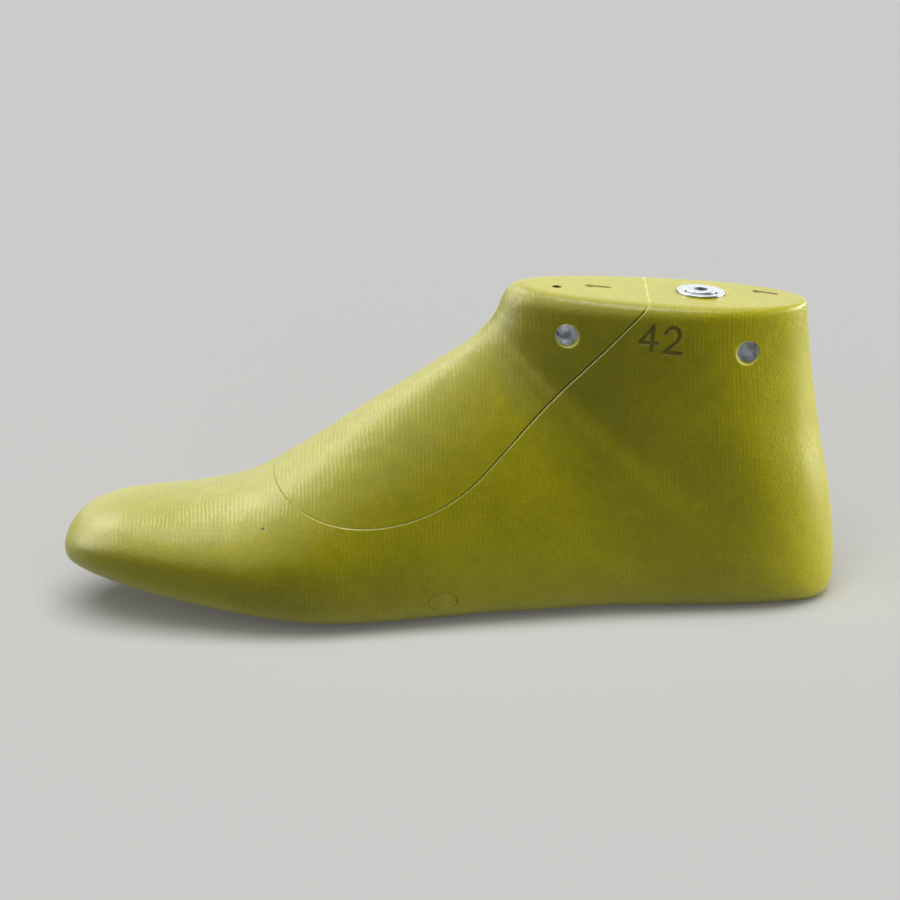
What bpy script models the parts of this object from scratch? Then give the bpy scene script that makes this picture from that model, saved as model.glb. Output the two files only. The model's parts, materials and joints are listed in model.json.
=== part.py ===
"""A size 42 instep-block shoe last with its jack thimble, hook tubes and block fittings.

Lengths are millimetres, turned to metres as each mesh is made. +X runs from toe to heel and +Z up.
The medial side faces -Y. The instep block slides up and back along the straight part of its cut.
"""

import math
from collections import namedtuple

import bmesh
import bpy
from mathutils import Matrix, Vector
from mathutils.bvhtree import BVHTree

MM = 0.001
UP = Vector((0.0, 0.0, 1.0))

# Stations of the last, from the toe over the ball and round the heel to the cone's rim.
# Each is a closed section that stands on a bottom point and reaches up to a top point in the XZ plane.
# medial and lateral are its half widths, belly the height of its widest line along the section,
# ridge the sideways place of its top point, and sole and dome say how square its lower and upper halves are.
Station = namedtuple("Station", "bottom_x bottom_z top_x top_z medial lateral belly ridge sole dome")
STATIONS = [
    Station(-140.3, 24.0, -140.3, 24.0, 0.0, 0.0, 0.0, -3.0, 2.0, 2.0),
    Station(-138.4, 20.0, -138.4, 31.3, 13.5, 12.0, 6.0, -3.0, 2.0, 2.0),
    Station(-132.0, 17.2, -132.0, 37.8, 24.5, 21.5, 11.0, -3.0, 2.2, 2.1),
    Station(-121.5, 14.6, -121.5, 41.4, 32.5, 31.0, 13.0, -3.0, 2.5, 2.2),
    Station(-107.5, 11.4, -108.0, 42.8, 38.5, 37.5, 14.5, -4.0, 2.8, 2.2),
    Station(-89.5, 7.8, -91.0, 44.0, 43.5, 42.5, 15.5, -5.0, 3.0, 2.2),
    Station(-69.5, 3.9, -71.5, 49.0, 47.3, 46.0, 16.0, -6.0, 3.0, 2.1),
    Station(-49.0, 0.8, -51.5, 60.6, 48.0, 48.0, 17.0, -6.0, 3.0, 2.0),
    Station(-28.0, -0.3, -33.5, 72.4, 45.3, 48.2, 18.5, -6.0, 3.0, 1.95),
    Station(-7.0, -0.3, -19.0, 81.2, 42.5, 47.0, 21.0, -5.0, 2.9, 1.95),
    Station(14.0, 0.2, -8.0, 87.9, 39.5, 43.5, 23.0, -4.0, 2.9, 2.0),
    Station(36.0, 0.4, 0.0, 92.6, 37.0, 39.5, 25.0, -3.0, 2.9, 2.05),
    Station(59.0, 0.3, 6.0, 96.1, 34.5, 36.0, 27.0, -2.0, 2.7, 2.1),
    Station(82.0, -0.5, 10.5, 99.3, 32.5, 33.5, 28.0, -1.0, 2.7, 2.1),
    Station(103.0, -0.9, 13.5, 101.9, 32.0, 32.5, 31.0, 0.0, 2.7, 2.1),
    Station(121.0, -1.0, 15.5, 104.1, 32.0, 32.0, 36.0, 0.0, 2.5, 2.1),
    Station(133.6, -0.6, 16.8, 105.5, 31.5, 31.5, 42.0, 0.0, 2.2, 2.1),
    Station(139.3, 5.0, 17.6, 106.6, 31.0, 31.0, 46.0, 0.0, 2.1, 2.1),
    Station(140.3, 20.0, 18.3, 107.7, 30.5, 30.5, 46.0, 0.0, 2.1, 2.1),
    Station(138.6, 41.0, 18.9, 108.8, 29.5, 29.0, 46.0, 0.0, 2.1, 2.1),
    Station(135.0, 64.0, 19.6, 110.0, 28.0, 27.0, 46.0, 0.0, 2.0, 2.1),
    Station(132.3, 88.0, 20.5, 112.2, 26.5, 24.5, 46.0, 0.0, 1.95, 2.1),
    Station(130.6, 110.4, 23.5, 119.5, 24.0, 21.5, 47.0, 0.0, 2.0, 2.2),
]
RINGS_PER_STATION = 2
POINTS_PER_QUARTER = 10
QUARTER_SAMPLES = 48
SMOOTH_BELOW = math.radians(35.0)

# Rounding of the cone's rim: full at the front and sides, almost sharp at the back
RIM_RADIUS = 6.0
RIM_BACK_SHARE = 0.25
RIM_SEGMENTS = 3

# The cut that frees the instep block: a straight incline, then a scoop of two arcs
CUT_TOP_X = 73.5
CUT_ANGLE = math.radians(44.0)
CUT_LENGTH = 83.4
SCOOP_REAR_RADIUS = 60.0
SCOOP_FRONT_RADIUS = 52.5
SCOOP_FRONT_SWEEP = math.radians(62.0)
ARC_STEP = math.radians(6.0)
CUT_GAP = 0.4
CUT_HALF_WIDTH = 60.0
CUT_ROOF = 150.0

# Fits
FIT = 0.3
FLUSH = 0.2
OVERRUN = 5.0
ROUND_STEPS = 32
SMALL_STEPS = 20

# Hook tubes: steel tubes that line the two cross holes
HOOK_BORE = 8.0
HOOK_TUBE_DIAMETER = 9.2
HOOK_TUBE_RECESS = 0.5
FRONT_HOOK_X = 43.6
FRONT_HOOK_DEPTH = 13.4
REAR_HOOK_X = 108.0
REAR_HOOK_DEPTH = 15.3

# Jack thimble: a flanged steel sleeve in the cone top, closed by a low socket-headed screw
THIMBLE_X = 92.6
THIMBLE_Y = 0.2
FLANGE_DIAMETER = 17.2
FLANGE_THICKNESS = 1.2
FLANGE_PROUD = 0.8
SLEEVE_DIAMETER = 12.6
SLEEVE_LENGTH = 38.0
SLEEVE_BORE = 8.6
SEAT_WALL = 1.4
SCREW_HEAD_DIAMETER = 11.4
SCREW_HEAD_HEIGHT = 2.6
SCREW_HEAD_PROUD = 0.5
SCREW_HEAD_EDGE = 0.4
SCREW_SHANK_DIAMETER = 8.0
SCREW_SHANK_LENGTH = 18.0
SCREW_END_EDGE = 1.0
SOCKET_WIDTH = 4.0
SOCKET_DEPTH = 1.8

# Oval plug of a filled hole, low in the waist on the medial side
PLUG_X = -2.7
PLUG_Z = 12.0
PLUG_WIDTH = 11.0
PLUG_HEIGHT = 7.8
PLUG_LENGTH = 9.0

# Marks on the cone top: a pin hole, and a matched pair of strokes placed by x, y and turn
PIN_HOLE_PLACE = (40.7, -3.3)
PIN_HOLE_DIAMETER = 2.8
PIN_HOLE_DEPTH = 8.0
STROKE_LENGTH = 9.5
STROKE_WIDTH = 1.0
STROKE_DEPTH = 0.5
BLOCK_STROKE = (55.7, 0.3, math.radians(-8.6))
BODY_STROKE = (116.2, 5.5, math.radians(-19.4))

# Tongue on the body's incline: a plate let into the plastic, with a T rail standing on it
TONGUE_START = 5.0
TONGUE_LENGTH = 48.0
TONGUE_WIDTH = 16.0
TONGUE_THICKNESS = 2.0
RAIL_LENGTH = 28.0
RAIL_WEB = 3.0
RAIL_HEAD_WIDTH = 9.0
RAIL_HEAD_THICKNESS = 2.0

# Keeper in the block: a channel whose lips hold the rail's head, so that the block can only slide
KEEPER_LENGTH = 48.0
KEEPER_HEADROOM = 3.0
KEEPER_LIP = 1.5
KEEPER_WALL = 1.8
KEEPER_FLOOR = 2.0
KEEPER_CAVITY = 4.6
KEEPER_RUNOUT = 45.0
KEEPER_SCREW_INSET = 6.0
ACCESS_DIAMETER = 7.0

# Catch spring: a bowed strip on the channel's floor that lies close over the rail's head
SPRING_LENGTH = 22.0
SPRING_WIDTH = 7.0
SPRING_THICKNESS = 0.5
SPRING_STEPS = 8

# Countersunk slotted screws of the tongue and the keeper
WOOD_HEAD_DIAMETER = 6.0
WOOD_HEAD_RIM = 0.3
WOOD_HEAD_CONE = 1.3
WOOD_SHANK_DIAMETER = 3.2
WOOD_SCREW_LENGTH = 15.0
WOOD_SCREW_TIP = 3.0
SLOT_WIDTH = 0.8
SLOT_DEPTH = 0.8

PARTS = "cobbler_last"
CUTTERS = "cutters"

PLASTIC = {"color": (0.33, 0.31, 0.04), "roughness": 0.42, "metallic": 0.0}
PLUG_PLASTIC = {"color": (0.36, 0.34, 0.06), "roughness": 0.4, "metallic": 0.0}
ZINC = {"color": (0.75, 0.76, 0.78), "roughness": 0.25, "metallic": 1.0}
TUBE_STEEL = {"color": (0.5, 0.52, 0.56), "roughness": 0.35, "metallic": 1.0}
SPRING_STEEL = {"color": (0.3, 0.3, 0.32), "roughness": 0.3, "metallic": 1.0}


def clear_scene():
    for obj in list(bpy.data.objects):
        bpy.data.objects.remove(obj, do_unlink=True)


def collection(name):
    found = bpy.data.collections.get(name)
    if found is None:
        found = bpy.data.collections.new(name)
        bpy.context.scene.collection.children.link(found)
    return found


def finish(name, color, roughness, metallic):
    """A plain material with the part's colour and gloss."""
    mat = bpy.data.materials.new(name)
    mat.use_nodes = True
    shader = mat.node_tree.nodes["Principled BSDF"]
    shader.inputs["Base Color"].default_value = (*color, 1.0)
    shader.inputs["Roughness"].default_value = roughness
    shader.inputs["Metallic"].default_value = metallic
    return mat


def add_object(name, data, matrix=Matrix.Identity(4)):
    """A new object, kept with the parts until it is made a cutter."""
    obj = bpy.data.objects.new(name, data)
    obj.matrix_world = matrix
    collection(PARTS).objects.link(obj)
    return obj


def as_cutter(obj):
    collection(PARTS).objects.unlink(obj)
    collection(CUTTERS).objects.link(obj)
    obj.hide_render = True
    obj.display_type = "WIRE"
    return obj


def combine(target, tool, operation="DIFFERENCE"):
    mod = target.modifiers.new(tool.name, "BOOLEAN")
    mod.operation = operation
    mod.solver = "EXACT"
    mod.object = tool


def to_mesh(bm, name):
    mesh = bpy.data.meshes.new(name)
    bm.to_mesh(mesh)
    bm.free()
    return mesh


def box(name, size, matrix):
    """A box of the given size, centred on the matrix."""
    bm = bmesh.new()
    bmesh.ops.create_cube(bm, size=1.0)
    bmesh.ops.scale(bm, vec=Vector(size) * MM, verts=bm.verts)
    return add_object(name, to_mesh(bm, name), matrix)


def cylinder(name, diameter, length, matrix, steps=ROUND_STEPS):
    """A cylinder along the matrix's Z axis, centred on it."""
    bm = bmesh.new()
    radius = 0.5 * diameter * MM
    bmesh.ops.create_cone(
        bm, cap_ends=True, segments=steps, radius1=radius, radius2=radius, depth=length * MM
    )
    mesh = to_mesh(bm, name)
    mesh.shade_smooth()
    mesh.set_sharp_from_angle(angle=SMOOTH_BELOW)
    return add_object(name, mesh, matrix)


def turned(name, profile, matrix, closed=False, steps=ROUND_STEPS):
    """A profile of (radius, height) points, run down its outer side and turned round the matrix's Z axis."""
    mesh = bpy.data.meshes.new(name)
    edges = [(i, i + 1) for i in range(len(profile) - 1)]
    if closed:
        edges.append((len(profile) - 1, 0))
    mesh.from_pydata([(r * MM, 0.0, z * MM) for r, z in profile], edges, [])
    obj = add_object(name, mesh, matrix)
    screw = obj.modifiers.new("turn", "SCREW")
    screw.angle = 2 * math.pi
    screw.steps = steps
    screw.render_steps = steps
    screw.use_merge_vertices = True
    screw.merge_threshold = 0.01 * MM
    return obj


def extruded(name, outline, half_thickness, matrix=Matrix.Identity(4)):
    """A flat outline of (x, z) points, thickened to both sides along Y."""
    curve = bpy.data.curves.new(name, "CURVE")
    curve.dimensions = "2D"
    curve.fill_mode = "BOTH"
    curve.extrude = half_thickness * MM
    line = curve.splines.new("POLY")
    line.points.add(len(outline) - 1)
    for point, (x, z) in zip(line.points, outline):
        point.co = (x * MM, z * MM, 0.0, 1.0)
    line.use_cyclic_u = True
    flat = add_object(name + "_outline", curve, matrix @ Matrix.Rotation(math.radians(90), 4, "X"))
    bpy.context.view_layer.update()
    mesh = bpy.data.meshes.new_from_object(flat.evaluated_get(bpy.context.evaluated_depsgraph_get()))
    bm = bmesh.new()
    bm.from_mesh(mesh)
    bmesh.ops.remove_doubles(bm, verts=bm.verts, dist=0.01 * MM)
    bm.to_mesh(mesh)
    bm.free()
    obj = add_object(name, mesh, flat.matrix_world.copy())
    bpy.data.objects.remove(flat)
    return obj


def spline(values, t):
    """Catmull-Rom curve through evenly spaced values, at t from 0 to the last index."""
    last = len(values) - 1
    i = min(int(t), last - 1)
    f = t - i
    p1, p2 = values[i], values[i + 1]
    p0 = values[i - 1] if i > 0 else 2 * p1 - p2
    p3 = values[i + 2] if i + 2 <= last else 2 * p2 - p1
    slope = 0.5 * (p2 - p0)
    bend = p0 - 2.5 * p1 + 2 * p2 - 0.5 * p3
    twist = 1.5 * (p1 - p2) + 0.5 * (p3 - p0)
    return p1 + slope * f + bend * f**2 + twist * f**3


def station_at(t):
    return Station(*(spline([getattr(s, field) for s in STATIONS], t) for field in Station._fields))


def quarter(width, height, power, count):
    """Evenly spaced points of a superellipse quarter, from (0, height) to (width, 0), without the last."""
    fine = []
    for i in range(QUARTER_SAMPLES + 1):
        a = 0.5 * math.pi * i / QUARTER_SAMPLES
        across = width * max(math.sin(a), 0.0) ** (2 / power)
        up = height * max(math.cos(a), 0.0) ** (2 / power)
        fine.append(Vector((across, up)))
    run = [0.0]
    for a, b in zip(fine, fine[1:]):
        run.append(run[-1] + (b - a).length)
    points = []
    k = 0
    for i in range(count):
        want = run[-1] * i / count
        while run[k + 1] < want:
            k += 1
        share = (want - run[k]) / (run[k + 1] - run[k])
        points.append(fine[k].lerp(fine[k + 1], share))
    return points


def section(s, count):
    """The closed ring of one station, from its top point round the lateral side and back by the medial."""
    foot = Vector((s.bottom_x, s.bottom_z))
    rise = Vector((s.top_x, s.top_z)) - foot
    up = rise.normalized()
    head = rise.length - s.belly
    ring = [(s.ridge + y, s.belly + h) for y, h in quarter(s.lateral - s.ridge, head, s.dome, count)]
    ring.append((s.lateral, s.belly))
    ring += [(y, s.belly - h) for y, h in reversed(quarter(s.lateral, s.belly, s.sole, count)[1:])]
    ring += [(-y, s.belly - h) for y, h in quarter(s.medial, s.belly, s.sole, count)]
    ring.append((-s.medial, s.belly))
    ring += [(s.ridge - y, s.belly + h) for y, h in reversed(quarter(s.medial + s.ridge, head, s.dome, count)[1:])]
    return [Vector((foot.x + up.x * h, y, foot.y + up.y * h)) for y, h in ring]


def weigh_rim(bm, rim):
    """Marks the rim's edges for the rounding, by less and less towards the back."""
    weight = bm.edges.layers.float.new("bevel_weight_edge")
    front = STATIONS[-1].top_x * MM
    length = STATIONS[-1].bottom_x * MM - front
    for edge in bm.edges:
        if edge.verts[0] in rim and edge.verts[1] in rim:
            back = (0.5 * (edge.verts[0].co.x + edge.verts[1].co.x) - front) / length
            edge[weight] = 1.0 - (1.0 - RIM_BACK_SHARE) * min(max(back, 0.0), 1.0) ** 3


def whole_last():
    """The last before it is cut. Its tread and heel seat are ground flat where the sole dips below Z = 0."""
    bm = bmesh.new()
    toe = STATIONS[0]
    tip = bm.verts.new(Vector((toe.bottom_x, toe.ridge, toe.bottom_z)) * MM)
    spans = len(STATIONS) - 1
    places = [i / RINGS_PER_STATION for i in range(1, (spans - 1) * RINGS_PER_STATION + 1)] + [spans]
    rings = []
    for t in places:
        rings.append([bm.verts.new(p * MM) for p in section(station_at(t), POINTS_PER_QUARTER)])
    around = len(rings[0])
    for j in range(around):
        bm.faces.new((tip, rings[0][j], rings[0][(j + 1) % around]))
    for a, b in zip(rings, rings[1:]):
        for j in range(around):
            k = (j + 1) % around
            bm.faces.new((a[j], b[j], b[k], a[k]))
    bm.faces.new(rings[-1])
    weigh_rim(bm, set(rings[-1]))
    whole = bm.verts[:] + bm.edges[:] + bm.faces[:]
    ground = bmesh.ops.bisect_plane(bm, geom=whole, plane_co=(0, 0, 0), plane_no=(0, 0, -1), clear_outer=True)
    bmesh.ops.holes_fill(bm, edges=[e for e in ground["geom_cut"] if isinstance(e, bmesh.types.BMEdge)])
    bmesh.ops.recalc_face_normals(bm, faces=bm.faces[:])
    mesh = to_mesh(bm, "whole_last")
    mesh.shade_smooth()
    mesh.set_sharp_from_angle(angle=SMOOTH_BELOW)
    return mesh


def last_piece(name, mesh):
    """An object of the whole last, ready to be cut to one of its two plastic pieces."""
    obj = add_object(name, mesh)
    rounding = obj.modifiers.new("rim", "BEVEL")
    rounding.limit_method = "WEIGHT"
    rounding.width = RIM_RADIUS * MM
    rounding.segments = RIM_SEGMENTS
    return obj


def rim_slope():
    rim = STATIONS[-1]
    return (rim.top_z - rim.bottom_z) / (rim.bottom_x - rim.top_x)


def rim_height(x):
    """Height of the cone top's plane at x."""
    return STATIONS[-1].bottom_z + rim_slope() * (STATIONS[-1].bottom_x - x)


def rim_matrix(x, y, turn=0.0):
    """A frame on the cone top, with Z along the top's normal."""
    place = Matrix.Translation(Vector((x, y, rim_height(x))) * MM)
    return place @ Matrix.Rotation(math.atan(rim_slope()), 4, "Y") @ Matrix.Rotation(turn, 4, "Z")


def cut_foot():
    """Lower end of the cut's straight incline."""
    top = Vector((CUT_TOP_X, rim_height(CUT_TOP_X)))
    return top - CUT_LENGTH * Vector((math.cos(CUT_ANGLE), math.sin(CUT_ANGLE)))


def incline_matrix(along, out=0.0):
    """A frame on the body's incline: X up and back along it, Z square to it, into the block."""
    foot = cut_foot()
    frame = Matrix.Translation(Vector((foot.x, 0.0, foot.y)) * MM) @ Matrix.Rotation(-CUT_ANGLE, 4, "Y")
    return frame @ Matrix.Translation(Vector((along, 0.0, out)) * MM)


def arc(centre, radius, start, end):
    """Points from start to end, angles from straight down with the heel's side positive."""
    steps = max(1, round(abs(end - start) / ARC_STEP))
    angles = [start + (end - start) * i / steps for i in range(steps + 1)]
    return [(centre.x + radius * math.sin(a), centre.y - radius * math.cos(a)) for a in angles]


def block_outline(gap):
    """The room of the instep block in the XZ plane, with its cut face moved in by gap."""
    direction = Vector((math.cos(CUT_ANGLE), math.sin(CUT_ANGLE)))
    normal = Vector((-math.sin(CUT_ANGLE), math.cos(CUT_ANGLE)))
    beyond = cut_foot() + (CUT_LENGTH + OVERRUN) * direction + gap * normal
    rear = cut_foot() + SCOOP_REAR_RADIUS * normal
    front = rear + Vector((0.0, SCOOP_FRONT_RADIUS - SCOOP_REAR_RADIUS))
    points = [(beyond.x, CUT_ROOF), (beyond.x, beyond.y)]
    points += arc(rear, SCOOP_REAR_RADIUS - gap, CUT_ANGLE, 0.0)
    points += arc(front, SCOOP_FRONT_RADIUS - gap, 0.0, -SCOOP_FRONT_SWEEP)[1:]
    points.append((points[-1][0], CUT_ROOF))
    return points


class Probe:
    """Finds the surface of the uncut last."""

    def __init__(self, obj):
        bpy.context.view_layer.update()
        self.tree = BVHTree.FromObject(obj, bpy.context.evaluated_depsgraph_get())

    def side(self, x, z, sign):
        """Surface point and outward normal on the medial (-1) or lateral (1) side."""
        start = Vector((x, sign * CUT_HALF_WIDTH, z)) * MM
        point, normal, _, _ = self.tree.ray_cast(start, Vector((0.0, -sign, 0.0)))
        return point / MM, normal

    def reach(self, x, z, radius, sign):
        """How far out a square-ended tube of this radius can come without leaving the last."""
        turns = [2 * math.pi * i / SMALL_STEPS for i in range(SMALL_STEPS)]
        rim = [(x + radius * math.cos(a), z + radius * math.sin(a)) for a in turns]
        return min(sign * self.side(px, pz, sign)[0].y for px, pz in rim)


def hook_tube(name, x, depth, probe, host):
    """A steel tube across the last, in a bore that goes right through its host."""
    z = rim_height(x) - depth
    radius = 0.5 * HOOK_TUBE_DIAMETER
    low = HOOK_TUBE_RECESS - probe.reach(x, z, radius, -1)
    high = probe.reach(x, z, radius, 1) - HOOK_TUBE_RECESS
    across = Matrix.Rotation(math.radians(-90), 4, "X")
    centre = Matrix.Translation(Vector((x, 0.5 * (low + high), z)) * MM) @ across
    half = 0.5 * (high - low)
    inner = 0.5 * HOOK_BORE
    tube = turned(name, [(radius, half), (radius, -half), (inner, -half), (inner, half)], centre, closed=True)
    bore = cylinder(name + "_bore", HOOK_TUBE_DIAMETER + 2 * FIT, 2 * CUT_HALF_WIDTH, centre)
    combine(host, as_cutter(bore))
    return tube


def jack_thimble(host):
    """The flanged sleeve, let into the cone top square to it."""
    top = rim_matrix(THIMBLE_X, THIMBLE_Y)
    flange = 0.5 * FLANGE_DIAMETER
    sleeve = 0.5 * SLEEVE_DIAMETER
    bore = 0.5 * SLEEVE_BORE
    recess = 0.5 * SCREW_HEAD_DIAMETER + FIT
    collar = max(sleeve, recess + SEAT_WALL)
    under = FLANGE_PROUD - FLANGE_THICKNESS
    seat = FLANGE_PROUD + SCREW_HEAD_PROUD - SCREW_HEAD_HEIGHT - FIT
    neck = seat - SEAT_WALL
    profile = [
        (flange - FIT, FLANGE_PROUD),
        (flange, FLANGE_PROUD - FIT),
        (flange, under),
        (collar, under),
        (collar, neck),
        (sleeve, neck),
        (sleeve, -SLEEVE_LENGTH),
        (bore, -SLEEVE_LENGTH),
        (bore, seat),
        (recess, seat),
        (recess, FLANGE_PROUD),
    ]
    thimble = turned("jack_thimble", profile, top, closed=True)
    room = [
        (0.0, OVERRUN),
        (flange + FIT, OVERRUN),
        (flange + FIT, under - FIT),
        (collar + FIT, under - FIT),
        (collar + FIT, neck - FIT),
        (sleeve + FIT, neck - FIT),
        (sleeve + FIT, -SLEEVE_LENGTH - FIT),
        (0.0, -SLEEVE_LENGTH - FIT),
    ]
    combine(host, as_cutter(turned("thimble_room", room, top)))
    return thimble


def thimble_screw():
    """The low socket-headed screw in the thimble's mouth."""
    top = rim_matrix(THIMBLE_X, THIMBLE_Y)
    high = FLANGE_PROUD + SCREW_HEAD_PROUD
    under = high - SCREW_HEAD_HEIGHT
    end = under - SCREW_SHANK_LENGTH
    head = 0.5 * SCREW_HEAD_DIAMETER
    shank = 0.5 * SCREW_SHANK_DIAMETER
    profile = [
        (0.0, high),
        (head - SCREW_HEAD_EDGE, high),
        (head, high - SCREW_HEAD_EDGE),
        (head, under),
        (shank, under),
        (shank, end + SCREW_END_EDGE),
        (shank - SCREW_END_EDGE, end),
        (0.0, end),
    ]
    screw = turned("thimble_screw", profile, top)
    corners = SOCKET_WIDTH / math.cos(math.radians(30))
    place = top @ Matrix.Translation(UP * (high * MM))
    combine(screw, as_cutter(cylinder("thimble_socket", corners, 2 * SOCKET_DEPTH, place, steps=6)))
    return screw


def oval(name, width, height, length, matrix):
    """A prism of oval section along the matrix's Z axis, centred on it."""
    obj = cylinder(name, width, length, matrix)
    obj.data.transform(Matrix.Scale(height / width, 4, (0.0, 1.0, 0.0)))
    return obj


def waist_plug(probe, host):
    """An oval plug, set square to the surface and just below it."""
    point, normal = probe.side(PLUG_X, PLUG_Z, -1)
    frame = Matrix.Translation(point * MM) @ normal.to_track_quat("Z", "Y").to_matrix().to_4x4()
    below = FLUSH + FIT
    centre = frame @ Matrix.Translation(UP * (-(below + 0.5 * PLUG_LENGTH) * MM))
    plug = oval("waist_plug", PLUG_WIDTH, PLUG_HEIGHT, PLUG_LENGTH, centre)
    depth = OVERRUN + below + PLUG_LENGTH + FIT
    room = frame @ Matrix.Translation(UP * ((OVERRUN - 0.5 * depth) * MM))
    combine(host, as_cutter(oval("plug_room", PLUG_WIDTH + 2 * FIT, PLUG_HEIGHT + 2 * FIT, depth, room)))
    return plug


def wood_screw(name, matrix, plate, host):
    """A countersunk slotted screw, its head on the matrix's XY plane and its shank down -Z."""
    head = 0.5 * WOOD_HEAD_DIAMETER
    shank = 0.5 * WOOD_SHANK_DIAMETER
    neck = -WOOD_HEAD_RIM - WOOD_HEAD_CONE
    profile = [
        (0.0, 0.0),
        (head, 0.0),
        (head, -WOOD_HEAD_RIM),
        (shank, neck),
        (shank, WOOD_SCREW_TIP - WOOD_SCREW_LENGTH),
        (0.0, -WOOD_SCREW_LENGTH),
    ]
    screw = turned(name, profile, matrix, steps=SMALL_STEPS)
    room = [
        (0.0, OVERRUN),
        (head + FIT, OVERRUN),
        (head + FIT, -WOOD_HEAD_RIM - FIT),
        (shank + FIT, neck - FIT),
        (shank + FIT, -WOOD_SCREW_LENGTH - FIT),
        (0.0, -WOOD_SCREW_LENGTH - FIT),
    ]
    cutter = as_cutter(turned(name + "_room", room, matrix, steps=SMALL_STEPS))
    combine(plate, cutter)
    combine(host, cutter)
    slot = box(name + "_slot", (2 * WOOD_HEAD_DIAMETER, SLOT_WIDTH, 2 * SLOT_DEPTH), matrix)
    combine(screw, as_cutter(slot))
    return screw


def tongue(host):
    """The tongue plate with its T rail, let into the body's incline, and its two screws."""
    middle = TONGUE_START + 0.5 * TONGUE_LENGTH
    top = -FLUSH
    root = top - 0.5 * TONGUE_THICKNESS
    head_low = CUT_GAP + FLUSH + KEEPER_LIP + FIT
    head_middle = head_low + 0.5 * RAIL_HEAD_THICKNESS
    plate = box("tongue_plate", (TONGUE_LENGTH, TONGUE_WIDTH, TONGUE_THICKNESS), incline_matrix(middle, root))
    web_size = (RAIL_LENGTH, RAIL_WEB, head_middle - root)
    web = as_cutter(box("rail_web", web_size, incline_matrix(middle, 0.5 * (root + head_middle))))
    head_size = (RAIL_LENGTH, RAIL_HEAD_WIDTH, RAIL_HEAD_THICKNESS)
    head = as_cutter(box("rail_head", head_size, incline_matrix(middle, head_middle)))
    combine(web, head, "UNION")
    combine(plate, web, "UNION")
    depth = OVERRUN + FLUSH + TONGUE_THICKNESS + FIT
    room_size = (TONGUE_LENGTH + 2 * FIT, TONGUE_WIDTH + 2 * FIT, depth)
    combine(host, as_cutter(box("tongue_room", room_size, incline_matrix(middle, OVERRUN - 0.5 * depth))))
    inset = 0.25 * (TONGUE_LENGTH - RAIL_LENGTH)
    lower = wood_screw("tongue_screw_lower", incline_matrix(TONGUE_START + inset, top), plate, host)
    upper_place = incline_matrix(TONGUE_START + TONGUE_LENGTH - inset, top)
    upper = wood_screw("tongue_screw_upper", upper_place, plate, host)
    return [plate, lower, upper]


def keeper(host):
    """The channel in the block that holds the rail, its two screws and its catch spring."""
    end = TONGUE_START + 0.5 * (TONGUE_LENGTH + RAIL_LENGTH) + KEEPER_HEADROOM
    start = end - KEEPER_LENGTH
    middle = 0.5 * (start + end)
    low = CUT_GAP + FLUSH
    lip_top = low + KEEPER_LIP
    floor = lip_top + KEEPER_CAVITY
    back = floor + KEEPER_FLOOR
    inner = RAIL_HEAD_WIDTH + 2 * FIT
    outer = inner + 2 * KEEPER_WALL
    long = KEEPER_LENGTH + 2 * OVERRUN
    channel = box("keeper_channel", (KEEPER_LENGTH, outer, back - low), incline_matrix(middle, 0.5 * (low + back)))
    cavity_place = incline_matrix(middle, 0.5 * (lip_top + floor))
    combine(channel, as_cutter(box("keeper_cavity", (long, inner, KEEPER_CAVITY), cavity_place)))
    lip_cut = 2 * (KEEPER_LIP + FIT)
    slot_size = (long, RAIL_WEB + 2 * FIT, lip_cut)
    combine(channel, as_cutter(box("keeper_slot", slot_size, incline_matrix(middle, low))))
    room_size = (end + FIT + KEEPER_RUNOUT, outer + 2 * FIT, back + FIT + OVERRUN)
    room_place = incline_matrix(0.5 * (end + FIT - KEEPER_RUNOUT), 0.5 * (back + FIT - OVERRUN))
    combine(host, as_cutter(box("keeper_room", room_size, room_place)))
    pieces = [channel]
    face_out = Matrix.Rotation(math.radians(180), 4, "X")
    for name, along in (("lower", start + KEEPER_SCREW_INSET), ("upper", end - KEEPER_SCREW_INSET)):
        place = incline_matrix(along, floor + FLUSH) @ face_out
        pieces.append(wood_screw("keeper_screw_" + name, place, channel, host))
        access = cylinder("keeper_access_" + name, ACCESS_DIAMETER, lip_cut, incline_matrix(along, low))
        combine(channel, as_cutter(access))
    rail_top = lip_top + FIT + RAIL_HEAD_THICKNESS
    pieces.append(catch_spring(middle, rail_top + FIT, floor - FIT))
    return pieces


def catch_spring(middle, crest, floor):
    """A strip bowed from the channel's floor towards the rail."""
    bow = floor - crest - SPRING_THICKNESS
    outline = []
    for i in range(SPRING_STEPS + 1):
        share = 2 * i / SPRING_STEPS - 1
        outline.append((0.5 * SPRING_LENGTH * share, floor - bow * (1 - share**2)))
    outline += [(x, z - SPRING_THICKNESS) for x, z in reversed(outline)]
    return extruded("catch_spring", outline, 0.5 * SPRING_WIDTH, incline_matrix(middle))


def stroke(name, place, host):
    """A short engraved match mark on the cone top."""
    mark = box(name, (STROKE_LENGTH, STROKE_WIDTH, 2 * STROKE_DEPTH), rim_matrix(*place))
    combine(host, as_cutter(mark))


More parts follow.
